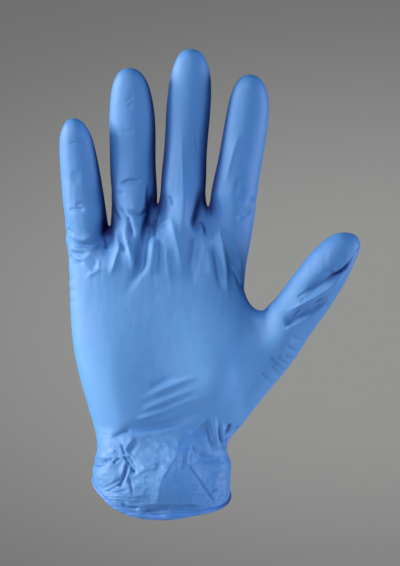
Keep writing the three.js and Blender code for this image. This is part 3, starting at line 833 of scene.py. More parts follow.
# Ring finger: joint creases, the flat plate over its root, and the deep folds that run from it to the palm.
RING_FINGER_FOLDS = (
    Fold(-0.25, 0.6, 0.8, ((-19, 196.5), (-16, 198.3), (-14, 200))),
    Fold(-0.2, 0.7, 1.0, ((-17.5, 193), (-16, 195), (-13.5, 196.5))),
    Fold(-0.3, 0.7, 1.4, ((-20, 182), (-13.5, 182.2))),
    Fold(-1.0, 0.6, 1.6, ((-22, 155.2), (-16, 157.4), (-9, 157))),
    Fold(-0.5, 0.8, 1.2, ((-23, 150.5), (-18.5, 151.6))),
    Fold(-1.5, 1.3, 0.8, ((-19, 142.6), (-14.4, 140.9), (-9.4, 140.4), (-6, 143.8))),
    Fold(-1.2, 1.0, 1.6, ((-6.4, 143.5), (-6.6, 150), (-7, 158)), fade=(0.2, 0.5)),
    Fold(-1.2, 0.7, 0.8, ((-17.7, 137.9), (-19.6, 141.2), (-22.3, 144.6)), fade=(0.1, 0.3)),
    Fold(-1.6, 0.9, 0.9, ((-14.3, 127.5), (-15.2, 132), (-16.9, 137.5), (-18, 138.3)), fade=(0.4, 0.1)),
    Fold(-1.2, 0.5, 0.6, ((-20.2, 136.8), (-23.9, 141.7), (-25.2, 147.1)), fade=(0.2, 0.2)),
    Fold(-0.4, 0.5, 0.6, ((-20.2, 136.2), (-18, 135.4))),
    Fold(-1.5, 1.2, 1.1, ((-17.6, 120), (-20.2, 126.7), (-21.8, 132.5))),
    Fold(
        1.6,
        1.8,
        1.0,
        ((-26.9, 109.6), (-24.4, 113.4), (-22.2, 120), (-21, 124.2), (-22.2, 130.4), (-23.9, 136.7)),
        SHARP,
    ),
    Fold(
        1.7,
        2.2,
        1.0,
        ((-16, 111.7), (-14.4, 115), (-14.5, 117.5), (-16.4, 124.2), (-18, 131.7), (-17.8, 137.5)),
        SHARP,
    ),
    Fold(0.7, 1.4, 1.2, ((-12, 127.5), (-11, 135)), SHARP),
    Fold(-0.8, 1.8, 1.6, ((-14, 112), (-11.5, 120), (-12, 131))),
    Fold(
        -2.4,
        2.6,
        1.8,
        (
            (-20, 96.7),
            (-15.2, 105.8),
            (-12.2, 110.4),
            (-10.2, 114.2),
            (-8.9, 122),
            (-8.1, 128.4),
            (-6.8, 134),
            (-4.2, 140),
        ),
        fade=(0.5, 0.2),
    ),
)
# Middle finger: the long ridge down its pad, and the fans of film at its two webs.
MIDDLE_FINGER_FOLDS = (
    Fold(1.0, 3.2, 1.4, ((9.6, 128), (11, 141), (10.6, 160), (9.4, 188)), SHARP),
    Fold(-0.7, 0.7, 0.9, ((17.6, 170), (16.2, 185))),
    Fold(-0.9, 0.5, 0.9, ((6, 144.5), (3, 149.5))),
    Fold(-0.5, 0.8, 1.0, ((12.8, 147.5), (14.6, 143), (13.4, 138.6))),
    Fold(-0.5, 0.5, 0.7, ((-1.5, 136.5), (1, 138.5), (3.5, 139))),
    Fold(-0.4, 0.5, 0.7, ((0, 134), (3, 136.3))),
    Fold(-1.6, 0.6, 0.8, ((-3.2, 127.5), (-3.9, 132), (-4, 138.5)), fade=(0.5, 0.1)),
    Fold(1.4, 2.4, 1.8, ((-6.5, 108), (-4.8, 119), (-4, 130)), SHARP),
    Fold(1.5, 2.6, 2.2, ((10.6, 107), (9.2, 118), (7.2, 127), (5.6, 135), (3, 144)), SHARP),
    Fold(0.8, 1.8, 1.4, ((4.5, 105), (2.6, 116), (2.2, 125)), SHARP),
    Fold(-0.8, 1.6, 1.6, ((-1, 109), (-0.6, 130))),
    Fold(-2.4, 3.2, 3.0, ((17, 103), (14.4, 114), (16, 123), (17, 132)), fade=(0.6, 0.2)),
    Fold(-1.6, 0.6, 0.7, ((22.2, 129), (21.6, 133), (20.6, 138.5)), fade=(0.5, 0.1)),
    Fold(0.5, 0.6, 0.6, ((20.4, 131.5), (19.8, 137))),
)
# Webs: the film dips from each gap towards the finger on its left.
WEB_FOLDS = (
    Fold(-1.9, 2.2, 1.6, ((-29, 126.5), (-27.2, 132.5), (-26.4, 140), (-28, 150)), fade=(0.4, 0.5)),
    Fold(-3.6, 3.0, 1.6, ((-7.5, 131), (-4.8, 138), (-3.8, 145), (-4, 158)), fade=(0.4, 0.5)),
    Fold(-3.8, 3.6, 1.6, ((16.8, 130), (18.2, 136), (20.2, 143), (20.4, 156)), fade=(0.4, 0.5)),
)
# Index finger: the light plane of its pad, the pocket at its root and the strong ridge into the palm.
INDEX_FINGER_FOLDS = (
    Fold(1.0, 3.0, 1.6, ((31.5, 153), (35, 168), (38.8, 182)), SHARP),
    Fold(-0.9, 2.0, 2.2, ((38, 147), (40.5, 155.5))),
    Fold(-0.7, 0.9, 1.0, ((36.5, 152), (38.5, 158), (42.5, 159))),
    Fold(-1.6, 1.4, 1.0, ((42.6, 139), (45.2, 143.5), (46.6, 150))),
    Fold(-1.0, 1.6, 1.2, ((37, 137.6), (41, 139.6), (43.6, 143.5))),
    Fold(2.8, 4.0, 1.4, ((33, 97), (32, 109), (30.6, 120), (29.6, 130), (29, 142)), SHARP, (0.4, 0.4)),
    Fold(-1.6, 1.6, 2.0, ((30.4, 101), (28.4, 110), (26.6, 119), (25.8, 126))),
    Fold(0.7, 2.0, 2.0, ((24.8, 108), (23.6, 122))),
    Fold(0.8, 2.0, 1.2, ((40, 109), (38.4, 120), (36, 132)), SHARP),
    Fold(-0.7, 0.7, 0.8, ((43, 99.5), (40.5, 104.3), (36.9, 110), (32, 115.5))),
    Fold(-0.6, 0.6, 0.7, ((41, 98.5), (38.6, 105.5), (37, 108.5))),
)
# Palm: three drags above the wrist, the slack below them, and the long ridge where the cuff starts.
WRIST_FOLDS = (
    Fold(1.4, 1.5, 1.1, ((-11, 47.4), (-2.2, 51.7), (5.2, 54.8), (13, 57.5), (22, 60)), fade=(0.3, 0.6)),
    Fold(1.5, 1.3, 1.1, ((-12, 41.4), (-3.2, 45.4), (4, 48.2), (12.2, 51.3), (21, 54)), fade=(0.3, 0.6)),
    Fold(1.6, 1.2, 1.0, ((-14, 37.2), (-4.8, 40), (2.8, 42.7), (14, 47.2), (25, 50.6)), fade=(0.2, 0.6)),
    Fold(
        -1.8,
        3.0,
        2.4,
        ((-23, 30), (-14, 33), (-4, 34.6), (7, 37.4), (18, 41.6), (30, 45)),
        fade=(0.3, 0.6),
    ),
    Fold(0.7, 1.2, 2.6, ((-18, 29.8), (-8, 31), (2, 32.8), (12, 35.4), (22, 39.8)), fade=(0.3, 0.5)),
    Fold(-1.1, 1.4, 0.8, ((-25, 28.4), (-20, 30.6), (-15.5, 33.2))),
    Fold(-0.5, 1.6, 1.6, ((-7, 53), (-1, 56), (7, 59))),
)
# Cuff: short crossing creases on the left, a broad plane in the middle that catches the light up to its
# edge, slack on the right, and gathers over the bead.
CUFF_FOLDS = (
    Fold(-1.2, 2.0, 0.8, ((-35, 15.6), (-31, 15.2), (-28, 16.4)), fade=(0, 0.3)),
    Fold(0.7, 0.7, 0.7, ((-34.5, 20), (-31, 18.6), (-28.5, 17.6)), SHARP, (0, 0.3)),
    Fold(-1.0, 0.7, 0.7, ((-28.8, 16.6), (-27, 17.5), (-23.6, 18)), fade=(0.1, 0.3)),
    Fold(-1.0, 0.7, 0.7, ((-24.2, 15.8), (-20.8, 18.9)), fade=(0.1, 0.3)),
    Fold(0.8, 1.6, 1.4, ((-27.5, 19.6), (-22.5, 22.6)), SHARP),
    Fold(-0.9, 0.5, 0.6, ((-18.4, 20), (-20.6, 26.5)), fade=(0.1, 0.4)),
    Fold(-1.3, 0.8, 0.7, ((-13.2, 11), (-16, 15.4), (-18.9, 19.6)), fade=(0.1, 0.1)),
    Fold(-0.9, 0.5, 0.5, ((-12.6, 12.6), (-15, 16.8), (-17, 19.8)), fade=(0.1, 0.2)),
    Fold(-0.7, 2.0, 1.4, ((-16.2, 19.4), (-14.2, 23.5), (-11, 29)), fade=(0.2, 0.4)),
    Fold(0.9, 1.6, 1.2, ((-18.8, 20.6), (-16.8, 25), (-13.8, 29)), SHARP),
    Fold(-0.8, 1.8, 1.6, ((-23.4, 11.2), (-20.4, 15.6), (-19, 19))),
    Fold(-1.4, 0.8, 0.9, ((-21.4, 4), (-18.4, 10), (-17.2, 15.6)), fade=(0.1, 0.1)),
    Fold(0.8, 0.8, 0.9, ((-19.2, 4.6), (-16.8, 9.5), (-15.8, 13.5)), SHARP),
    Fold(-0.7, 0.6, 0.6, ((-14.2, -0.4), (-15.2, 4.5), (-16.6, 9)), fade=(0.4, 0.1)),
    Fold(-0.8, 0.6, 0.7, ((-30, 3), (-25, 5.4), (-20.6, 8)), fade=(0.3, 0.1)),
    Fold(-0.7, 0.6, 0.7, ((-28, 1.4), (-24.5, 3.2), (-21.2, 5.4)), fade=(0.3, 0.1)),
    Fold(-0.6, 0.5, 0.6, ((-27, 0.2), (-16, 3))),
    Fold(
        4.6,
        10.0,
        9.0,
        ((-4, -9), (-1.6, 1), (1, 8.5), (5, 14.5), (7.4, 20.5), (9, 27), (10, 36)),
        SHARP,
        (0.3, 0.45),
    ),
    Fold(0.6, 0.7, 0.8, ((-14.2, 9), (-8, 12.4), (-1, 13.6)), SHARP),
    Fold(0.4, 0.6, 0.7, ((-12.5, 11), (-7, 14.6), (-1, 16.2)), SHARP),
    Fold(0.5, 0.6, 0.6, ((0, 12.6), (5.6, 14.4)), SHARP),
    Fold(-1.3, 1.2, 2.8, ((13, 30.6), (18, 32.2), (22, 36))),
    Fold(-1.1, 1.8, 1.5, ((24.2, 21), (24, 31), (22.6, 40.5))),
    Fold(1.3, 1.6, 1.1, ((27.8, 22), (26.8, 30), (25.6, 41))),
    Fold(-0.5, 0.5, 0.6, ((28.9, 24), (28.7, 38))),
    Fold(1.5, 0.8, 1.6, ((31.4, 19), (30, 28), (29.6, 37)), SHARP),
    Fold(-1.6, 1.1, 1.1, ((30.8, 29.6), (33.4, 33), (33.6, 36))),
    Fold(-1.6, 0.7, 0.7, ((31.2, 27), (34, 29.4), (37.5, 33.4)), fade=(0.1, 0)),
    Fold(-1.3, 0.7, 0.7, ((31.4, 24), (34, 26.8), (37, 30.4)), fade=(0.1, 0)),
    Fold(0.8, 1.0, 0.8, ((11.6, 14.6), (12.8, 20), (13.8, 24.6)), SHARP),
    Fold(-0.9, 0.7, 1.2, ((17.4, 18.6), (14.6, 24)), fade=(0.2, 0.2)),
    Fold(-0.8, 0.8, 0.8, ((9, 12.4), (11.4, 20)), fade=(0.2, 0.3)),
    Fold(-0.6, 0.6, 0.6, ((13.2, 15.8), (14.4, 22))),
    Fold(-1.8, 1.8, 2.4, ((16.6, 21.5), (20, 19.4), (25, 18.4), (31, 19.8))),
    Fold(-2.6, 9.0, 8.0, ((21, -8), (22, 4), (23, 16), (23, 26)), fade=(0.5, 0.5)),
    Fold(-0.5, 0.5, 0.6, ((26.8, -5), (20.4, 5), (16.4, 10), (12.4, 14.8)), fade=(0.1, 0.2)),
    Fold(0.7, 0.7, 0.9, ((28, -4.4), (21.7, 5.6), (17.6, 10.7), (13.4, 15.6)), SHARP, (0.1, 0.2)),
    Fold(-0.8, 0.6, 0.7, ((23, -1.4), (26, 2), (29.5, 3.6))),
    Fold(-0.8, 0.6, 0.7, ((27.4, -3), (30.5, 0.4), (31, 3))),
    Fold(-1.3, 1.7, 0.8, ((-10, -8.4), (-4, -7.8), (3, -6.8), (11, -6.6)), fade=(0.2, 0.4)),
    Fold(-1.0, 1.2, 0.9, ((4, -7.2), (12, -6.6), (19.5, -6.4))),
    Fold(-1.0, 1.2, 0.9, ((-20.5, -4.4), (-16, -6.6), (-11, -7.6)), fade=(0.1, 0.3)),
)
# Thumb: one long fold into its tip, two bands of slack below it, the broad hollow and swells where it meets
# the palm, and short drags round the thenar.
THUMB_FOLDS = (
    Fold(
        -2.3,
        1.0,
        1.2,
        ((81, 104.6), (85, 108), (89, 111.4), (92.8, 114.7), (96.5, 118.7), (99.5, 122.6)),
        fade=(0.4, 0),
    ),
    Fold(0.9, 0.9, 0.7, ((85, 109.8), (88.6, 112.8), (92.4, 116.2), (96, 120.6)), SHARP),
    Fold(
        2.1,
        1.1,
        1.3,
        ((62.5, 91.6), (67.5, 94.2), (71.5, 96.2), (76.5, 99), (81.5, 102.2), (85.4, 105.4), (89.5, 109)),
        SHARP,
        (0.3, 0.2),
    ),
    Fold(-1.8, 3.2, 1.5, ((70.5, 99.6), (77.5, 103.6), (83, 107.6), (88.5, 113)), fade=(0.3, 0.2)),
    Fold(-2.0, 4.0, 0.9, ((61.5, 84), (67, 87), (71.5, 89.4), (77.6, 92.8), (83.6, 97.2)), fade=(0.15, 0.2)),
    Fold(-0.6, 0.5, 0.6, ((65.4, 88.8), (69.4, 93))),
    Fold(0.6, 0.5, 0.6, ((68, 88.8), (71.6, 92.4), (77, 96.4)), SHARP),
    Fold(-0.6, 0.5, 0.6, ((75.6, 94), (80, 98.8))),
    Fold(1.1, 0.9, 1.0, ((62, 83), (68.4, 86), (74.6, 89.4), (79, 91.2)), SHARP, (0.1, 0.4)),
    Fold(-0.6, 0.6, 0.7, ((64.4, 79.4), (67, 78), (71, 77))),
    Fold(-0.5, 0.6, 0.6, ((67.2, 98), (71, 101), (75, 103.2))),
    Fold(-0.4, 0.6, 0.6, ((69, 96.2), (71.5, 98.6))),
    Fold(-2.2, 9.0, 5.0, ((37, 36), (42, 51), (52, 64), (63, 77))),
    Fold(1.8, 9.0, 12.0, ((18, 42), (27, 55), (36, 66)), fade=(0.5, 0.5)),
    Fold(1.5, 4.0, 5.0, ((47, 84), (51.5, 90), (58, 98)), fade=(0.5, 0.5)),
    Fold(-0.7, 0.5, 0.6, ((57.8, 69.2), (60.6, 66.8), (65, 64.6)), fade=(0.2, 0)),
    Fold(-0.8, 0.5, 0.6, ((54.8, 69), (57, 65.8), (62, 61.6)), fade=(0.2, 0)),
    Fold(-0.7, 0.5, 0.6, ((55.4, 64.4), (57.2, 61.8), (61, 58.4)), fade=(0.2, 0)),
    Fold(-0.8, 0.7, 0.8, ((61.2, 69.6), (64.4, 68), (69, 66.4)), fade=(0.2, 0)),
    Fold(-0.7, 0.7, 0.8, ((62, 74.4), (65, 72.4), (71, 70.4)), fade=(0.2, 0)),
    Fold(-0.7, 0.7, 0.8, ((50.6, 61), (52.4, 58), (56.4, 54.6)), fade=(0.2, 0)),
)
PALM_FOLDS = (
    LITTLE_FINGER_FOLDS
    + RING_FINGER_FOLDS
    + MIDDLE_FINGER_FOLDS
    + WEB_FOLDS
    + INDEX_FINGER_FOLDS
    + WRIST_FOLDS
    + CUFF_FOLDS
    + THUMB_FOLDS
)
# Back of the hand: the knuckles' and tendons' low ridges, and the cuff's crossing folds.
BACK_FOLDS = (
    Fold(1.4, 5.0, 5.0, ((-33, 110), (-36, 123))),
    Fold(1.6, 5.0, 5.0, ((-12, 116), (-13, 131))),
    Fold(1.6, 5.0, 5.0, ((10, 117), (11, 132))),
    Fold(1.5, 5.0, 5.0, ((31, 114), (33, 129))),
    Fold(-1.3, 3.4, 3.4, ((-30, 34), (-8, 29), (14, 33), (34, 40))),
    Fold(-1.2, 3.2, 3.2, ((-16, 3), (-14, 13), (-20, 24))),
    Fold(1.2, 3.2, 3.2, ((14, 4), (17, 14), (12, 26))),
)


def crumpled(points: np.ndarray, normals: np.ndarray) -> np.ndarray:
    """How far the folds move each point out along its normal.

    Each point is looked up where the line from the viewpoint through it meets the picture plane. The heights
    that the folds of either side have there are added up, times how far the normal faces that side.

    Args:
        points: (n, 3) places on the smooth surface.
        normals: (n, 3) unit normals there.

    Returns:
        (n,) distances, less than 0 into the surface.
    """
    sight = points - VIEWPOINT
    flat = (VIEWPOINT + sight * (-VIEWPOINT[1] / sight[:, 1:2]))[:, [0, 2]]
    moves = np.zeros(len(points))
    for side, folds in ((Side.PALM, PALM_FOLDS), (Side.BACK, BACK_FOLDS)):
        facing = smoothstep(normals[:, 1] * side.value, *FACING)
        for fold in folds:
            near, height = fold.lift(flat)
            moves[near] += height * facing[near]
    return moves


# materials


def linear(hex_colour: str) -> tuple[float, float, float, float]:
    """An sRGB hex colour as linear values.

    Args:
        hex_colour: Such as "#5a8fd0".

    Returns:
        Red, green, blue and 1.
    """
    parts = [int(hex_colour[i : i + 2], 16) / 255 for i in (1, 3, 5)]
    made = [part / 12.92 if part <= 0.04045 else ((part + 0.055) / 1.055) ** 2.4 for part in parts]
    return (*made, 1.0)


def add_node(
    tree: bpy.types.NodeTree, kind: str, inputs: dict[str | int, Value] | None = None, **settings: object
) -> bpy.types.Node:
    """Adds a node with its settings and links.

    Args:
        tree: The node tree.
        kind: The node's type, without ShaderNode in front.
        inputs: For each input a value to set or a socket to link.
        **settings: The node's own options.

    Returns:
        The node.
    """
    node = tree.nodes.new("ShaderNode" + kind)
    for key, value in settings.items():
        setattr(node, key, value)
    for key, value in (inputs or {}).items():
        if isinstance(value, Socket):
            tree.links.new(value, node.inputs[key])
        else:
            node.inputs[key].default_value = value
    return node


class Relief(Enum):
    """Form of a layer of relief: ROLLING is soft, CRUSHED has flat facets that meet in sharp creases."""

    ROLLING = "TexNoise"
    CRUSHED = "TexVoronoi"


@dataclass(frozen=True)
class ReliefLayer:
    """Small relief that the film has over a band of heights of the glove.

    Attributes:
        height: From its lowest to its highest, in millimetres.
        across: Size of a feature along x and y, in millimetres.
        along: Size of a feature along z.
        start: Heights between which it comes in.
        end: Heights between which it dies out.
        form: Its form.
        detail: Finer layers of the same pattern on it.
    """

    height: float
    across: float
    along: float
    start: Span = (-60, -50)
    end: Span = (300, 290)
    form: Relief = Relief.ROLLING
    detail: float = 2.0

    def add_to(self, tree: bpy.types.NodeTree, place: Socket) -> Socket:
        """Adds the layer: its pattern, times the lesser of what is left of its height at either end.

        Args:
            tree: The material's node tree.
            place: Place on the object.

        Returns:
            Height in millimetres.
        """
        z = add_node(tree, "SeparateXYZ", {"Vector": place}).outputs["Z"]
        ends = []
        for low, high in (self.start, self.end):
            ramp = {"Value": z, "From Min": low * MM, "From Max": high * MM, "To Max": self.height}
            ends.append(add_node(tree, "MapRange", ramp, interpolation_type="SMOOTHSTEP").outputs["Result"])
        left = add_node(tree, "Math", {0: ends[0], 1: ends[1]}, operation="MINIMUM").outputs["Value"]
        per_metre = tuple(1 / (size * MM) for size in (self.across, self.across, self.along))
        stretched = add_node(tree, "VectorMath", {0: place, 1: per_metre}, operation="MULTIPLY")
        pattern = {"Vector": stretched.outputs["Vector"], "Scale": 1.0, "Detail": self.detail}
        share = add_node(tree, self.form.value, pattern).outputs[0]
        return add_node(tree, "Math", {0: share, 1: left}, operation="MULTIPLY").outputs["Value"]


@dataclass(frozen=True)
class NitrileFinish:
    """Dipped nitrile film: a satin, slightly milky blue rubber with a fine grain from the former.

    It gives the eye soft, wide sheens instead of reflections, and a paler blue over the palm, partly the
    film's own paling where it is stretched thin and partly painted light. Folds and the spaces between
    fingers get
    painted shade: deep navy mixed into the colour.

    Attributes:
        name: The material's name.
        stretched: Paler colour over the palm, partly where the film is stretched thin and partly painted
            light.
        light: Palest colour elsewhere.
        deep: Deepest colour.
        painted_shade_colour: Colour of the painted shade, which stands in for the shade in folds and between
            fingers.
        painted_shade_reaches: Reaches in millimetres, each with the shares of open surroundings between
            which the painted shade gives way to the film's colour: whole fingers, folds, and single creases.
        painted_shade_rays: How many directions each place is looked round in for the painted shade.
        cloud_size: Size in millimetres of the faint clouds between the palest and the deepest colour.
        cloud_detail: Finer layers of the same pattern on them.
        palm: The palm's middle, in metres.
        stretch_and_painted_light: Distances from it between which the stretch and the painted light die out,
            in metres.
        painted_shade_span: x in millimetres between which painted shade makes the colour deep towards the
            right. As given it lies past the glove, and nothing is shaded.
        painted_shade_floor: Share of the film's own colour that the painted shade leaves there.
        roughness: Least and most roughness.
        refraction: Index of refraction, that of nitrile rubber.
        sheen: Level of mirrored light, over the usual 0.5, because the film is smooth under its grain.
        relief: Layers of small relief.
    """

    name: str = "nitrile_rubber_dipped"
    # paler over the palm: partly stretched film, partly painted light on the palm's middle
    stretched: str = "#569eec"
    light: str = "#478ddd"
    deep: str = "#4087d6"
    # painted shade: the deep navy that folds and the spaces between fingers are coloured with
    painted_shade_colour: str = "#04287a"
    painted_shade_reaches: tuple[tuple[float, float, float], ...] = ((14.0, 0.36, 0.92), (5.0, 0.2, 0.78), (1.6, 0.1, 0.7))
    painted_shade_rays: int = 8
    cloud_size: float = 25.0
    cloud_detail: float = 3.0
    palm: tuple[float, float, float] = (0.003, -0.012, 0.078)
    stretch_and_painted_light: Span = (0.02, 0.085)
    # painted shade towards the right; as given it lies past the glove
    painted_shade_span: Span = (300, 310)
    painted_shade_floor: float = 0.15
    roughness: Span = (0.58, 0.68)
    refraction: float = 1.52
    sheen: float = 0.8
    relief: tuple[ReliefLayer, ...] = (
        # the former's grain, which breaks up the sheen; drawn coarser than the real 0.1 mm, too fine to show
        ReliefLayer(0.06, 0.7, 0.7),
        # uneven thickness from dipping: the long outlines of the highlights waver a little
        ReliefLayer(0.4, 8, 10),
        # strain in the film above the palm, as faint streaks along the fingers' roots
        ReliefLayer(0.3, 2.8, 24, start=(92, 114), end=(200, 150)),
        # slack cuff: flat facets that meet in sharp creases, and the finer crinkle on them
        ReliefLayer(1.2, 15, 12, end=(36, 26), form=Relief.CRUSHED),
        ReliefLayer(0.45, 4.5, 2.6, end=(36, 26)),
        # gathers that run along the bead just above it
        ReliefLayer(1.2, 16, 1.6, end=(8, -1)),
    )

    def painted_openness(self, tree: bpy.types.NodeTree, place: Socket) -> Socket:
        """How open each place is to the light, from 0 deep in a fold to 1 on the open film.

        The share sets painted shade: the colour is mixed towards deep navy by it in folds, between fingers
        and, where a span of x is given, towards the right, and the roughness rises where it is low. That
        span's ramp starts the share, each reach gives a share from ambient occlusion, and the shares are
        multiplied.

        Args:
            tree: The material's node tree.
            place: Place on the object.

        Returns:
            The share.
        """
        # painted shade by place: the colour goes deep towards the right
        side = add_node(tree, "SeparateXYZ", {"Vector": place}).outputs["X"]
        left, right = (x * MM for x in self.painted_shade_span)
        ramp = {"Value": side, "From Min": left, "From Max": right, "To Min": 1.0, "To Max": self.painted_shade_floor}
        share = add_node(tree, "MapRange", ramp).outputs["Result"]
        for reach, least, most in self.painted_shade_reaches:
            rays = {"samples": self.painted_shade_rays, "only_local": True}
            around = add_node(tree, "AmbientOcclusion", {"Distance": reach * MM}, **rays).outputs["AO"]
            ramp = {"Value": around, "From Min": least, "From Max": most}
            depth = add_node(tree, "MapRange", ramp, interpolation_type="SMOOTHSTEP").outputs["Result"]
            share = add_node(tree, "Math", {0: share, 1: depth}, operation="MULTIPLY").outputs["Value"]
        return share

    def colour(self, tree: bpy.types.NodeTree, place: Socket, cloud: Socket, painted_openness: Socket) -> Socket:
        """The film's colour: two blues in clouds, a paler palm that is partly painted light, and navy
        painted shade.

        Args:
            tree: The material's node tree.
            place: Place on the object.
            cloud: Share of the palest blue in the clouds.
            painted_openness: How open the place is to the light; it sets the painted shade.

        Returns:
            The colour.
        """
        # partly painted light: the palm's middle paler than the fingers and the palm's edges
        away = add_node(tree, "VectorMath", {0: place, 1: self.palm}, operation="DISTANCE").outputs["Value"]
        near, far = self.stretch_and_painted_light
        ramp = {"Value": away, "From Min": near, "From Max": far, "To Min": 1.0, "To Max": 0.0}
        stretch_and_painted_light = add_node(tree, "MapRange", ramp, interpolation_type="SMOOTHSTEP").outputs["Result"]
        blend = {"Factor": cloud, "A": linear(self.deep), "B": linear(self.light)}
        clouds = add_node(tree, "Mix", blend, data_type="RGBA").outputs["Result"]
        blend = {"Factor": stretch_and_painted_light, "A": clouds, "B": linear(self.stretched)}
        film = add_node(tree, "Mix", blend, data_type="RGBA").outputs["Result"]
        # painted shade: deep navy mixed into the colour where little light reaches
        blend = {"Factor": painted_openness, "A": linear(self.painted_shade_colour), "B": film}
        return add_node(tree, "Mix", blend, data_type="RGBA").outputs["Result"]

    def make(self) -> bpy.types.Material:
        """Builds the material: colour, bump from the relief, and roughness that grows where the painted
        shade lies.

        Returns:
            The material.
        """
        material = bpy.data.materials.new(self.name)
        material.use_nodes = True
        tree = material.node_tree
        tree.nodes.clear()
        place = add_node(tree, "TexCoord").outputs["Object"]
        pattern = {"Vector": place, "Scale": 1 / (self.cloud_size * MM), "Detail": self.cloud_detail}
        cloud = add_node(tree, "TexNoise", pattern).outputs["Fac"]
        # painted shade: how far each place is coloured deep navy for shade
        painted_openness = self.painted_openness(tree, place)
        height = 0.0
        for layer in self.relief:
            terms = {0: height, 1: layer.add_to(tree, place)}
            height = add_node(tree, "Math", terms, operation="ADD").outputs["Value"]
        bump = add_node(tree, "Bump", {"Height": height, "Strength": 1.0, "Distance": MM})
        least, most = self.roughness
        spread = add_node(tree, "MapRange", {"Value": cloud, "To Min": least, "To Max": most})
        dulling = {"Value": painted_openness, "To Min": 1.0, "To Max": spread.outputs["Result"]}
        look = {
            "Base Color": self.colour(tree, place, cloud, painted_openness),
            "Roughness": add_node(tree, "MapRange", dulling).outputs["Result"],
            "Normal": bump.outputs["Normal"],
            "IOR": self.refraction,
            "Specular IOR Level": self.sheen,
        }
        shader = add_node(tree, "BsdfPrincipled", look)
        add_node(tree, "OutputMaterial", {"Surface": shader.outputs["BSDF"]})
        return material


# pieces


RIM_STEP = 4  # points of the skin on the rim for each of the lining's, which is split two times less


def make_piece(name: str, points: np.ndarray, loops: np.ndarray, counts: np.ndarray) -> bpy.types.Object:
    """Makes a smooth-shaded mesh object of faces with any number of corners.

    Args:
        name: The object's name.
        points: (n, 3) places in millimetres.
        loops: Point numbers of all faces, one face after the other.
        counts: Corners of each face.

    Returns:
        The object, linked to the scene, at the origin.
    """
    used, loops = np.unique(loops, return_inverse=True)
    mesh = bpy.data.meshes.new(name)
    mesh.vertices.add(len(used))
    mesh.vertices.foreach_set("co", (points[used] * MM).astype(np.float32).ravel())
    mesh.loops.add(len(loops))
    mesh.loops.foreach_set("vertex_index", loops.astype(np.int32).ravel())
    mesh.polygons.add(len(counts))
    mesh.polygons.foreach_set("loop_start", (np.cumsum(counts) - counts).astype(np.int32))
    mesh.update(calc_edges=True)
    mesh.validate()
    mesh.shade_smooth()
    piece = bpy.data.objects.new(name, mesh)
    bpy.context.scene.collection.objects.link(piece)
    return piece


class GlovePiece:
    """What the film and the bead share.

    Attributes:
        finish: Its finish.
        node: The CAD node that it replaces.
        slot: Name of a material slot; it is not used.
    """

    finish: NitrileFinish
    node: str
    slot: str

    def dress(self, piece: bpy.types.Object) -> None:
        """Dresses a piece: its material and the body it rides on, and hides the CAD node that it replaces.

        Args:
            piece: The piece.
        """
        piece.data.materials.append(self.finish.make())
        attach(piece, BODY)
        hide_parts(self.node)


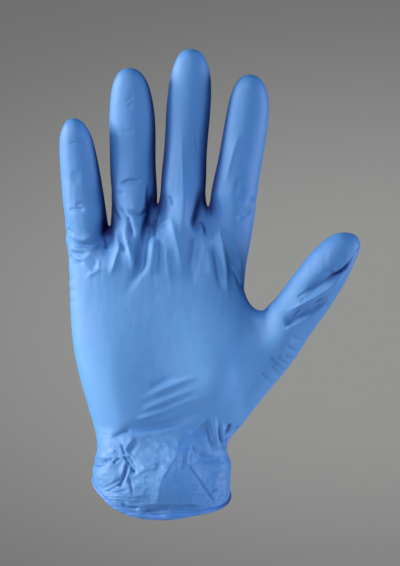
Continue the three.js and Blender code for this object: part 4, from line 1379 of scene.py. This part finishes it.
@dataclass
class GloveFilm(GlovePiece):
    """The film: an outer skin, finest where folds bend it most, and a plain lining joined to it at the rim.

    Attributes:
        form: The hand inside.
        finish: Its finish, palest over the palm, partly where the hand stretches it and partly painted
            light.
        node: The CAD node that it replaces.
        slot: Name of a material slot; it is not used.
        wall: Depth of the lining under the deepest fold near it.
        ease: How far the sharpest valleys hold the lining back.
        cage_rounds: How often the cage is corrected, so that the smooth film passes through its places.
        fine_faces: Faces of the skin that are split once more.
        places: Places of the skin's points, once it is built.
        rim: Numbers of those on the rim, in turn round +Z.
        inner_rim: Places of the lining's rim.
    """

    form: HandForm
    finish: NitrileFinish = NitrileFinish()
    node: str = "glove_film"
    slot: str = "nitrile_film"
    wall: float = 1.1
    ease: float = 0.03
    cage_rounds: int = 4
    fine_faces: int = 15600
    places: np.ndarray = field(init=False)
    rim: np.ndarray = field(init=False)
    inner_rim: np.ndarray = field(init=False)

    def build(self) -> bpy.types.Object:
        """Makes the film: the smooth hand moved out by its folds, the lining under it, and the rim between.

        Returns:
            The piece.
        """
        cage = self.form.cage().through(self.cage_rounds)
        lining = cage.subdivided().subdivided()
        skin = lining.subdivided()
        finest = skin.subdivided()
        smooth = QuadSurface(finest.limit(), finest.quads)
        normals = smooth.normals()
        moves = crumpled(smooth.points, normals)
        self.rim = smooth.rim_loop()
        self.places = smooth.points + normals * moves[:, None]
        fine = self.finest_where_bent(skin, moves)
        inner = self.lining_places(lining, moves)
        self.inner_rim = inner[self.rim[::RIM_STEP]]
        loops, counts = self.skin_faces(skin, finest, fine)
        offset = len(self.places)
        inward = lining.quads[:, ::-1] + offset
        band = self.rim_faces(offset)
        loops = np.concatenate([loops, inward.ravel(), band.ravel()])
        counts = np.concatenate([counts, np.full(len(inward), 4), np.full(len(band), band.shape[1])])
        return make_piece("film_skin", np.concatenate([self.places, inner]), loops, counts)

    def finest_where_bent(self, skin: QuadSurface, moves: np.ndarray) -> np.ndarray:
        """Picks the faces of the skin that its folds bend most.

        A face's bend is how far the folds' height at its centre and edge middles lies from the mean of the
        corners beside them.

        Args:
            skin: The skin before its last split.
            moves: Height of the folds at the points of the finest surface.

        Returns:
            For each face whether it is split once more.
        """
        ends, number, open_rim = skin.edges
        count = len(skin.points)
        centre = moves[count : count + len(skin.quads)]
        middle = moves[count + len(skin.quads) :]
        edge_bend = np.abs(middle - moves[ends].mean(axis=1))
        bend = np.abs(centre - moves[skin.quads].mean(axis=1)) + edge_bend[number].max(axis=1)
        bend[open_rim[number].any(axis=1)] = np.inf
        fine = np.zeros(len(skin.quads), bool)
        fine[np.argpartition(-bend, self.fine_faces)[: self.fine_faces]] = True
        return fine

    def skin_faces(
        self, skin: QuadSurface, finest: QuadSurface, fine: np.ndarray
    ) -> tuple[np.ndarray, np.ndarray]:
        """Faces of the skin, some split once more; a face beside a split one takes in its edge's middle.

        Args:
            skin: The skin before its last split.
            finest: The skin after it.
            fine: For each face whether it is split.

        Returns:
            Point numbers of all faces, one after the other, and each face's count of corners.
        """
        ends, number, _ = skin.edges
        split = np.bincount(number[fine].ravel(), minlength=len(ends)) > 0
        coarse = number[~fine]
        middles = coarse + len(skin.points) + len(skin.quads)
        slots = np.stack([skin.quads[~fine], middles], axis=2).reshape(-1, 8)
        kept = np.stack([np.ones_like(coarse, bool), split[coarse]], axis=2).reshape(-1, 8)
        small = finest.quads.reshape(-1, 4, 4)[fine].reshape(-1, 4)
        loops = np.concatenate([slots[kept], small.ravel()])
        return loops, np.concatenate([kept.sum(axis=1), np.full(len(small), 4)])

    def lining_places(self, lining: QuadSurface, moves: np.ndarray) -> np.ndarray:
        """Places of the lining, under the lowest point of the folds round each of its points.

        Args:
            lining: The surface two splits above the finest.
            moves: Height of the folds at the points of the finest surface.

        Returns:
            (n, 3) places.
        """
        inner = QuadSurface(lining.limit(), lining.quads)
        finest = lining.subdivided().subdivided()
        lowest = moves[finest.quads].reshape(len(lining.quads), -1).min(axis=1)
        sunk = np.full(len(lining.points), np.inf)
        np.minimum.at(sunk, lining.quads, lowest[:, None])
        inner.points = inner.points + inner.normals() * sunk[:, None]
        return inner.sunk(self.wall, self.ease)

    def rim_faces(self, offset: int) -> np.ndarray:
        """Faces that join skin and lining at the rim: RIM_STEP short edges of the skin to one of the lining.

        Args:
            offset: Number of the lining's first point.

        Returns:
            (k, RIM_STEP + 3) point numbers.
        """
        outer = [np.roll(self.rim, -step)[::RIM_STEP] for step in range(RIM_STEP, -1, -1)]
        inner = self.rim[::RIM_STEP] + offset
        return np.stack([*outer, inner, np.roll(inner, -1)], axis=1)


@dataclass
class RolledBead(GlovePiece):
    """The film's edge rolled on itself: a ring that follows the rim.

    Attributes:
        film: The film whose rim it takes in.
        finish: Its finish: several layers of film, so one even blue, with painted shade that makes it deep
        towards its right end.
        node: The CAD node that it replaces.
        slot: Name of a material slot; it is not used.
        thickness: Across the wall.
        overlap: How far the film dips into it.
        sides: Points round the roll.
        rim_rounds: How often the rim's line is evened out before the roll follows it.
        out_rounds: How often the direction across the wall is.
    """

    film: GloveFilm
    # painted shade makes the bead's colour deep towards its right end
    finish: NitrileFinish = NitrileFinish(
        name="nitrile_rubber_rolled", stretched="#4a90ee", light="#4a90ee", deep="#3f86e6", painted_shade_span=(24, 33)
    )
    node: str = "rolled_cuff_bead"
    slot: str = "rolled_bead"
    thickness: float = 2.6
    overlap: float = 0.5
    sides: int = 20
    rim_rounds: int = 3
    out_rounds: int = 6

    def build(self) -> bpy.types.Object:
        """Makes the ring: an ellipse carried along the rim, its height from the RIM table.

        Returns:
            The piece.
        """
        outer = self.film.places[self.film.rim]
        count = len(outer)
        station = np.arange(count) / RIM_STEP
        inner = self.film.inner_rim
        whole = station.astype(int)
        share = (station - whole)[:, None]
        inner = inner[whole] * (1 - share) + inner[(whole + 1) % len(inner)] * share
        rim = self.smoothed((outer + inner) / 2, self.rim_rounds)
        out = self.smoothed(outer - inner, self.out_rounds)
        out /= np.linalg.norm(out, axis=1, keepdims=True)
        ahead = np.roll(rim, -1, axis=0) - np.roll(rim, 1, axis=0)
        down = np.cross(ahead, out)
        down /= np.linalg.norm(down, axis=1, keepdims=True)
        down *= -np.sign(down[:, 2:])
        turn = np.degrees(np.arctan2(-rim[:, 1], -rim[:, 0])) % 360
        height = rim_value(np.array([station.bead for station in RIM]), turn)[:, None]
        centre = rim + down * (height / 2 - self.overlap)
        angle = 2 * np.pi * np.arange(self.sides) / self.sides
        up = -down[:, None] * (height[:, None] / 2) * np.cos(angle)[None, :, None]
        across = out[:, None] * (self.thickness / 2) * np.sin(angle)[None, :, None]
        points = (centre[:, None] + up + across).reshape(-1, 3)
        number = np.arange(count * self.sides).reshape(count, self.sides)
        following = np.roll(number, -1, axis=0)
        quads = np.stack([number, np.roll(number, -1, 1), np.roll(following, -1, 1), following], axis=2)
        return make_piece("bead_roll", points, quads.ravel(), np.full(quads.size // 4, 4))

    @staticmethod
    def smoothed(ring: np.ndarray, rounds: int) -> np.ndarray:
        """Evens out a closed ring: in each round a point moves halfway to the mean of its neighbours.

        Args:
            ring: (n, 3) places or directions.
            rounds: How many rounds.

        Returns:
            (n, 3) evened out.
        """
        for _ in range(rounds):
            ring = ring / 2 + (np.roll(ring, 1, axis=0) + np.roll(ring, -1, axis=0)) / 4
        return ring


# studio


@dataclass(frozen=True)
class Softbox:
    """A soft light, seen only by what it lights.

    Attributes:
        name: Its name.
        place: Its place in metres.
        size: Side of its square in metres.
        power: In watts.
        colour: Its colour.
        target: What it faces, in metres.
    """

    name: str
    place: tuple[float, float, float]
    size: float
    power: float
    colour: str
    target: tuple[float, float, float] = (0.02, 0.0, 0.11)

    def build(self) -> None:
        """Adds the light, turned to its target."""
        lamp = bpy.data.lights.new(self.name, "AREA")
        lamp.size = self.size
        lamp.energy = self.power
        lamp.color = linear(self.colour)[:3]
        light = bpy.data.objects.new(self.name, lamp)
        light.location = self.place
        aim = Vector(self.target) - Vector(self.place)
        light.rotation_euler = aim.to_track_quat("-Z", "Y").to_euler()
        light.visible_camera = False
        bpy.context.scene.collection.objects.link(light)


@dataclass(frozen=True)
class Backdrop:
    """Grey surroundings with a paler patch, by the direction from the glove.

    Attributes:
        patch: Colour of the patch, which lies behind the glove's right side.
        wall: Colour round it.
        squeeze: Factors on a direction before its way from the patch is measured: half along x makes the
            patch twice as wide.
        centre: The squeezed direction of its middle.
        edge: Distances from that between which it goes over into the wall.
        behind: y of a direction between which the glow rises.
        glow: Strength of the light from the front and from behind, which the camera doesn't see.
    """

    patch: str = "#949593"
    wall: str = "#707070"
    squeeze: tuple[float, float, float] = (0.5, 1.0, 1.0)
    centre: tuple[float, float, float] = (0.035, 0.99, -0.02)
    edge: Span = (0.03, 0.16)
    behind: Span = (-0.3, 0.8)
    glow: Span = (0.02, 0.06)

    def build(self) -> None:
        """Makes the scene's world: full strength for the camera, the glow for everything else."""
        world = bpy.data.worlds.new("studio_grey")
        bpy.context.scene.world = world
        world.use_nodes = True
        tree = world.node_tree
        tree.nodes.clear()
        towards = add_node(tree, "TexCoord").outputs["Generated"]
        squeezed = add_node(tree, "VectorMath", {0: towards, 1: self.squeeze}, operation="MULTIPLY")
        terms = {0: squeezed.outputs["Vector"], 1: self.centre}
        away = add_node(tree, "VectorMath", terms, operation="DISTANCE").outputs["Value"]
        near, far = self.edge
        ramp = {"Value": away, "From Min": near, "From Max": far}
        shade = add_node(tree, "MapRange", ramp, interpolation_type="SMOOTHSTEP").outputs["Result"]
        blend = {"Factor": shade, "A": linear(self.patch), "B": linear(self.wall)}
        colour = add_node(tree, "Mix", blend, data_type="RGBA").outputs["Result"]
        seen = add_node(tree, "Background", {"Color": colour}).outputs["Background"]
        y = add_node(tree, "SeparateXYZ", {"Vector": towards}).outputs["Y"]
        (near, far), (least, most) = self.behind, self.glow
        ramp = {"Value": y, "From Min": near, "From Max": far, "To Min": least, "To Max": most}
        glow = add_node(tree, "MapRange", ramp, interpolation_type="SMOOTHSTEP").outputs["Result"]
        lit = add_node(tree, "Background", {"Color": colour, "Strength": glow}).outputs["Background"]
        sight = add_node(tree, "LightPath").outputs["Is Camera Ray"]
        both = add_node(tree, "MixShader", {0: sight, 1: lit, 2: seen})
        add_node(tree, "OutputWorld", {"Surface": both.outputs["Shader"]})


@dataclass
class Studio:
    """Pale floor, grey surroundings, soft lights and the camera, in metres.

    Attributes:
        focal_length: In millimetres on a 36 mm long side: two pixels to a millimetre at the glove.
        eye: The camera's place; it looks along +Y.
        sight: How far the camera sees.
        floor_height: Height of the floor, which is out of the camera's sight.
        floor_radius: Its radius.
        floor_sides: Corners of its edge.
        floor_colour: Its colour.
        floor_roughness: Its roughness.
        lights: The lights.
        backdrop: The surroundings.
    """

    focal_length: float = 152.65
    eye: tuple[float, float, float] = (0.019, -1.2, 0.106)
    sight: float = 20.0
    floor_height: float = -0.35
    floor_radius: float = 1.1
    floor_sides: int = 96
    floor_colour: str = "#d9d9d6"
    floor_roughness: float = 0.8
    lights: tuple[Softbox, ...] = (
        Softbox("key_left", (-1.33, -0.10, 0.46), 0.5, 27.5, "#fff0d8"),
        Softbox("fill_top", (-0.62, -1.36, 0.91), 0.6, 15.2, "#f4f6ff"),
        Softbox("rim_right", (1.41, -0.10, 0.10), 0.5, 12.5, "#f2f6ff"),
    )
    backdrop: Backdrop = Backdrop()

    def build(self) -> None:
        """Adds everything that isn't part of the glove."""
        scene = bpy.context.scene
        camera = bpy.data.objects.new("camera", bpy.data.cameras.new("camera"))
        camera.data.lens = self.focal_length
        camera.data.clip_end = self.sight
        camera.location = self.eye
        camera.rotation_euler = (math.pi / 2, 0, 0)
        scene.collection.objects.link(camera)
        scene.camera = camera
        scene.view_settings.view_transform = "Standard"
        for light in self.lights:
            light.build()
        self.build_floor()
        self.backdrop.build()

    def build_floor(self) -> None:
        """A round level floor of matt paint, which throws a soft pale light back up and shows no gloss."""
        sides = self.floor_sides
        turn = 2 * np.pi * np.arange(sides) / sides
        edge = self.floor_radius * np.stack([np.cos(turn), np.sin(turn)], axis=1)
        points = np.column_stack([edge, np.full(sides, self.floor_height)])
        floor = make_piece("floor", points / MM, np.arange(sides), np.array([sides]))
        material = bpy.data.materials.new("matt_paint_pale")
        material.use_nodes = True
        shader = material.node_tree.nodes["Principled BSDF"]
        shader.inputs["Base Color"].default_value = linear(self.floor_colour)
        shader.inputs["Roughness"].default_value = self.floor_roughness
        floor.data.materials.append(material)


def main() -> None:
    """Builds the glove and its studio."""
    logging.basicConfig(level=logging.INFO, format="%(message)s")
    Studio().build()
    film = GloveFilm(HandForm())
    for maker in (film, RolledBead(film)):
        piece = maker.build()
        maker.dress(piece)
        piece.data.calc_loop_triangles()
        log.info("%s: %d triangles", piece.name, len(piece.data.loop_triangles))


if __name__ == "__main__":
    main()
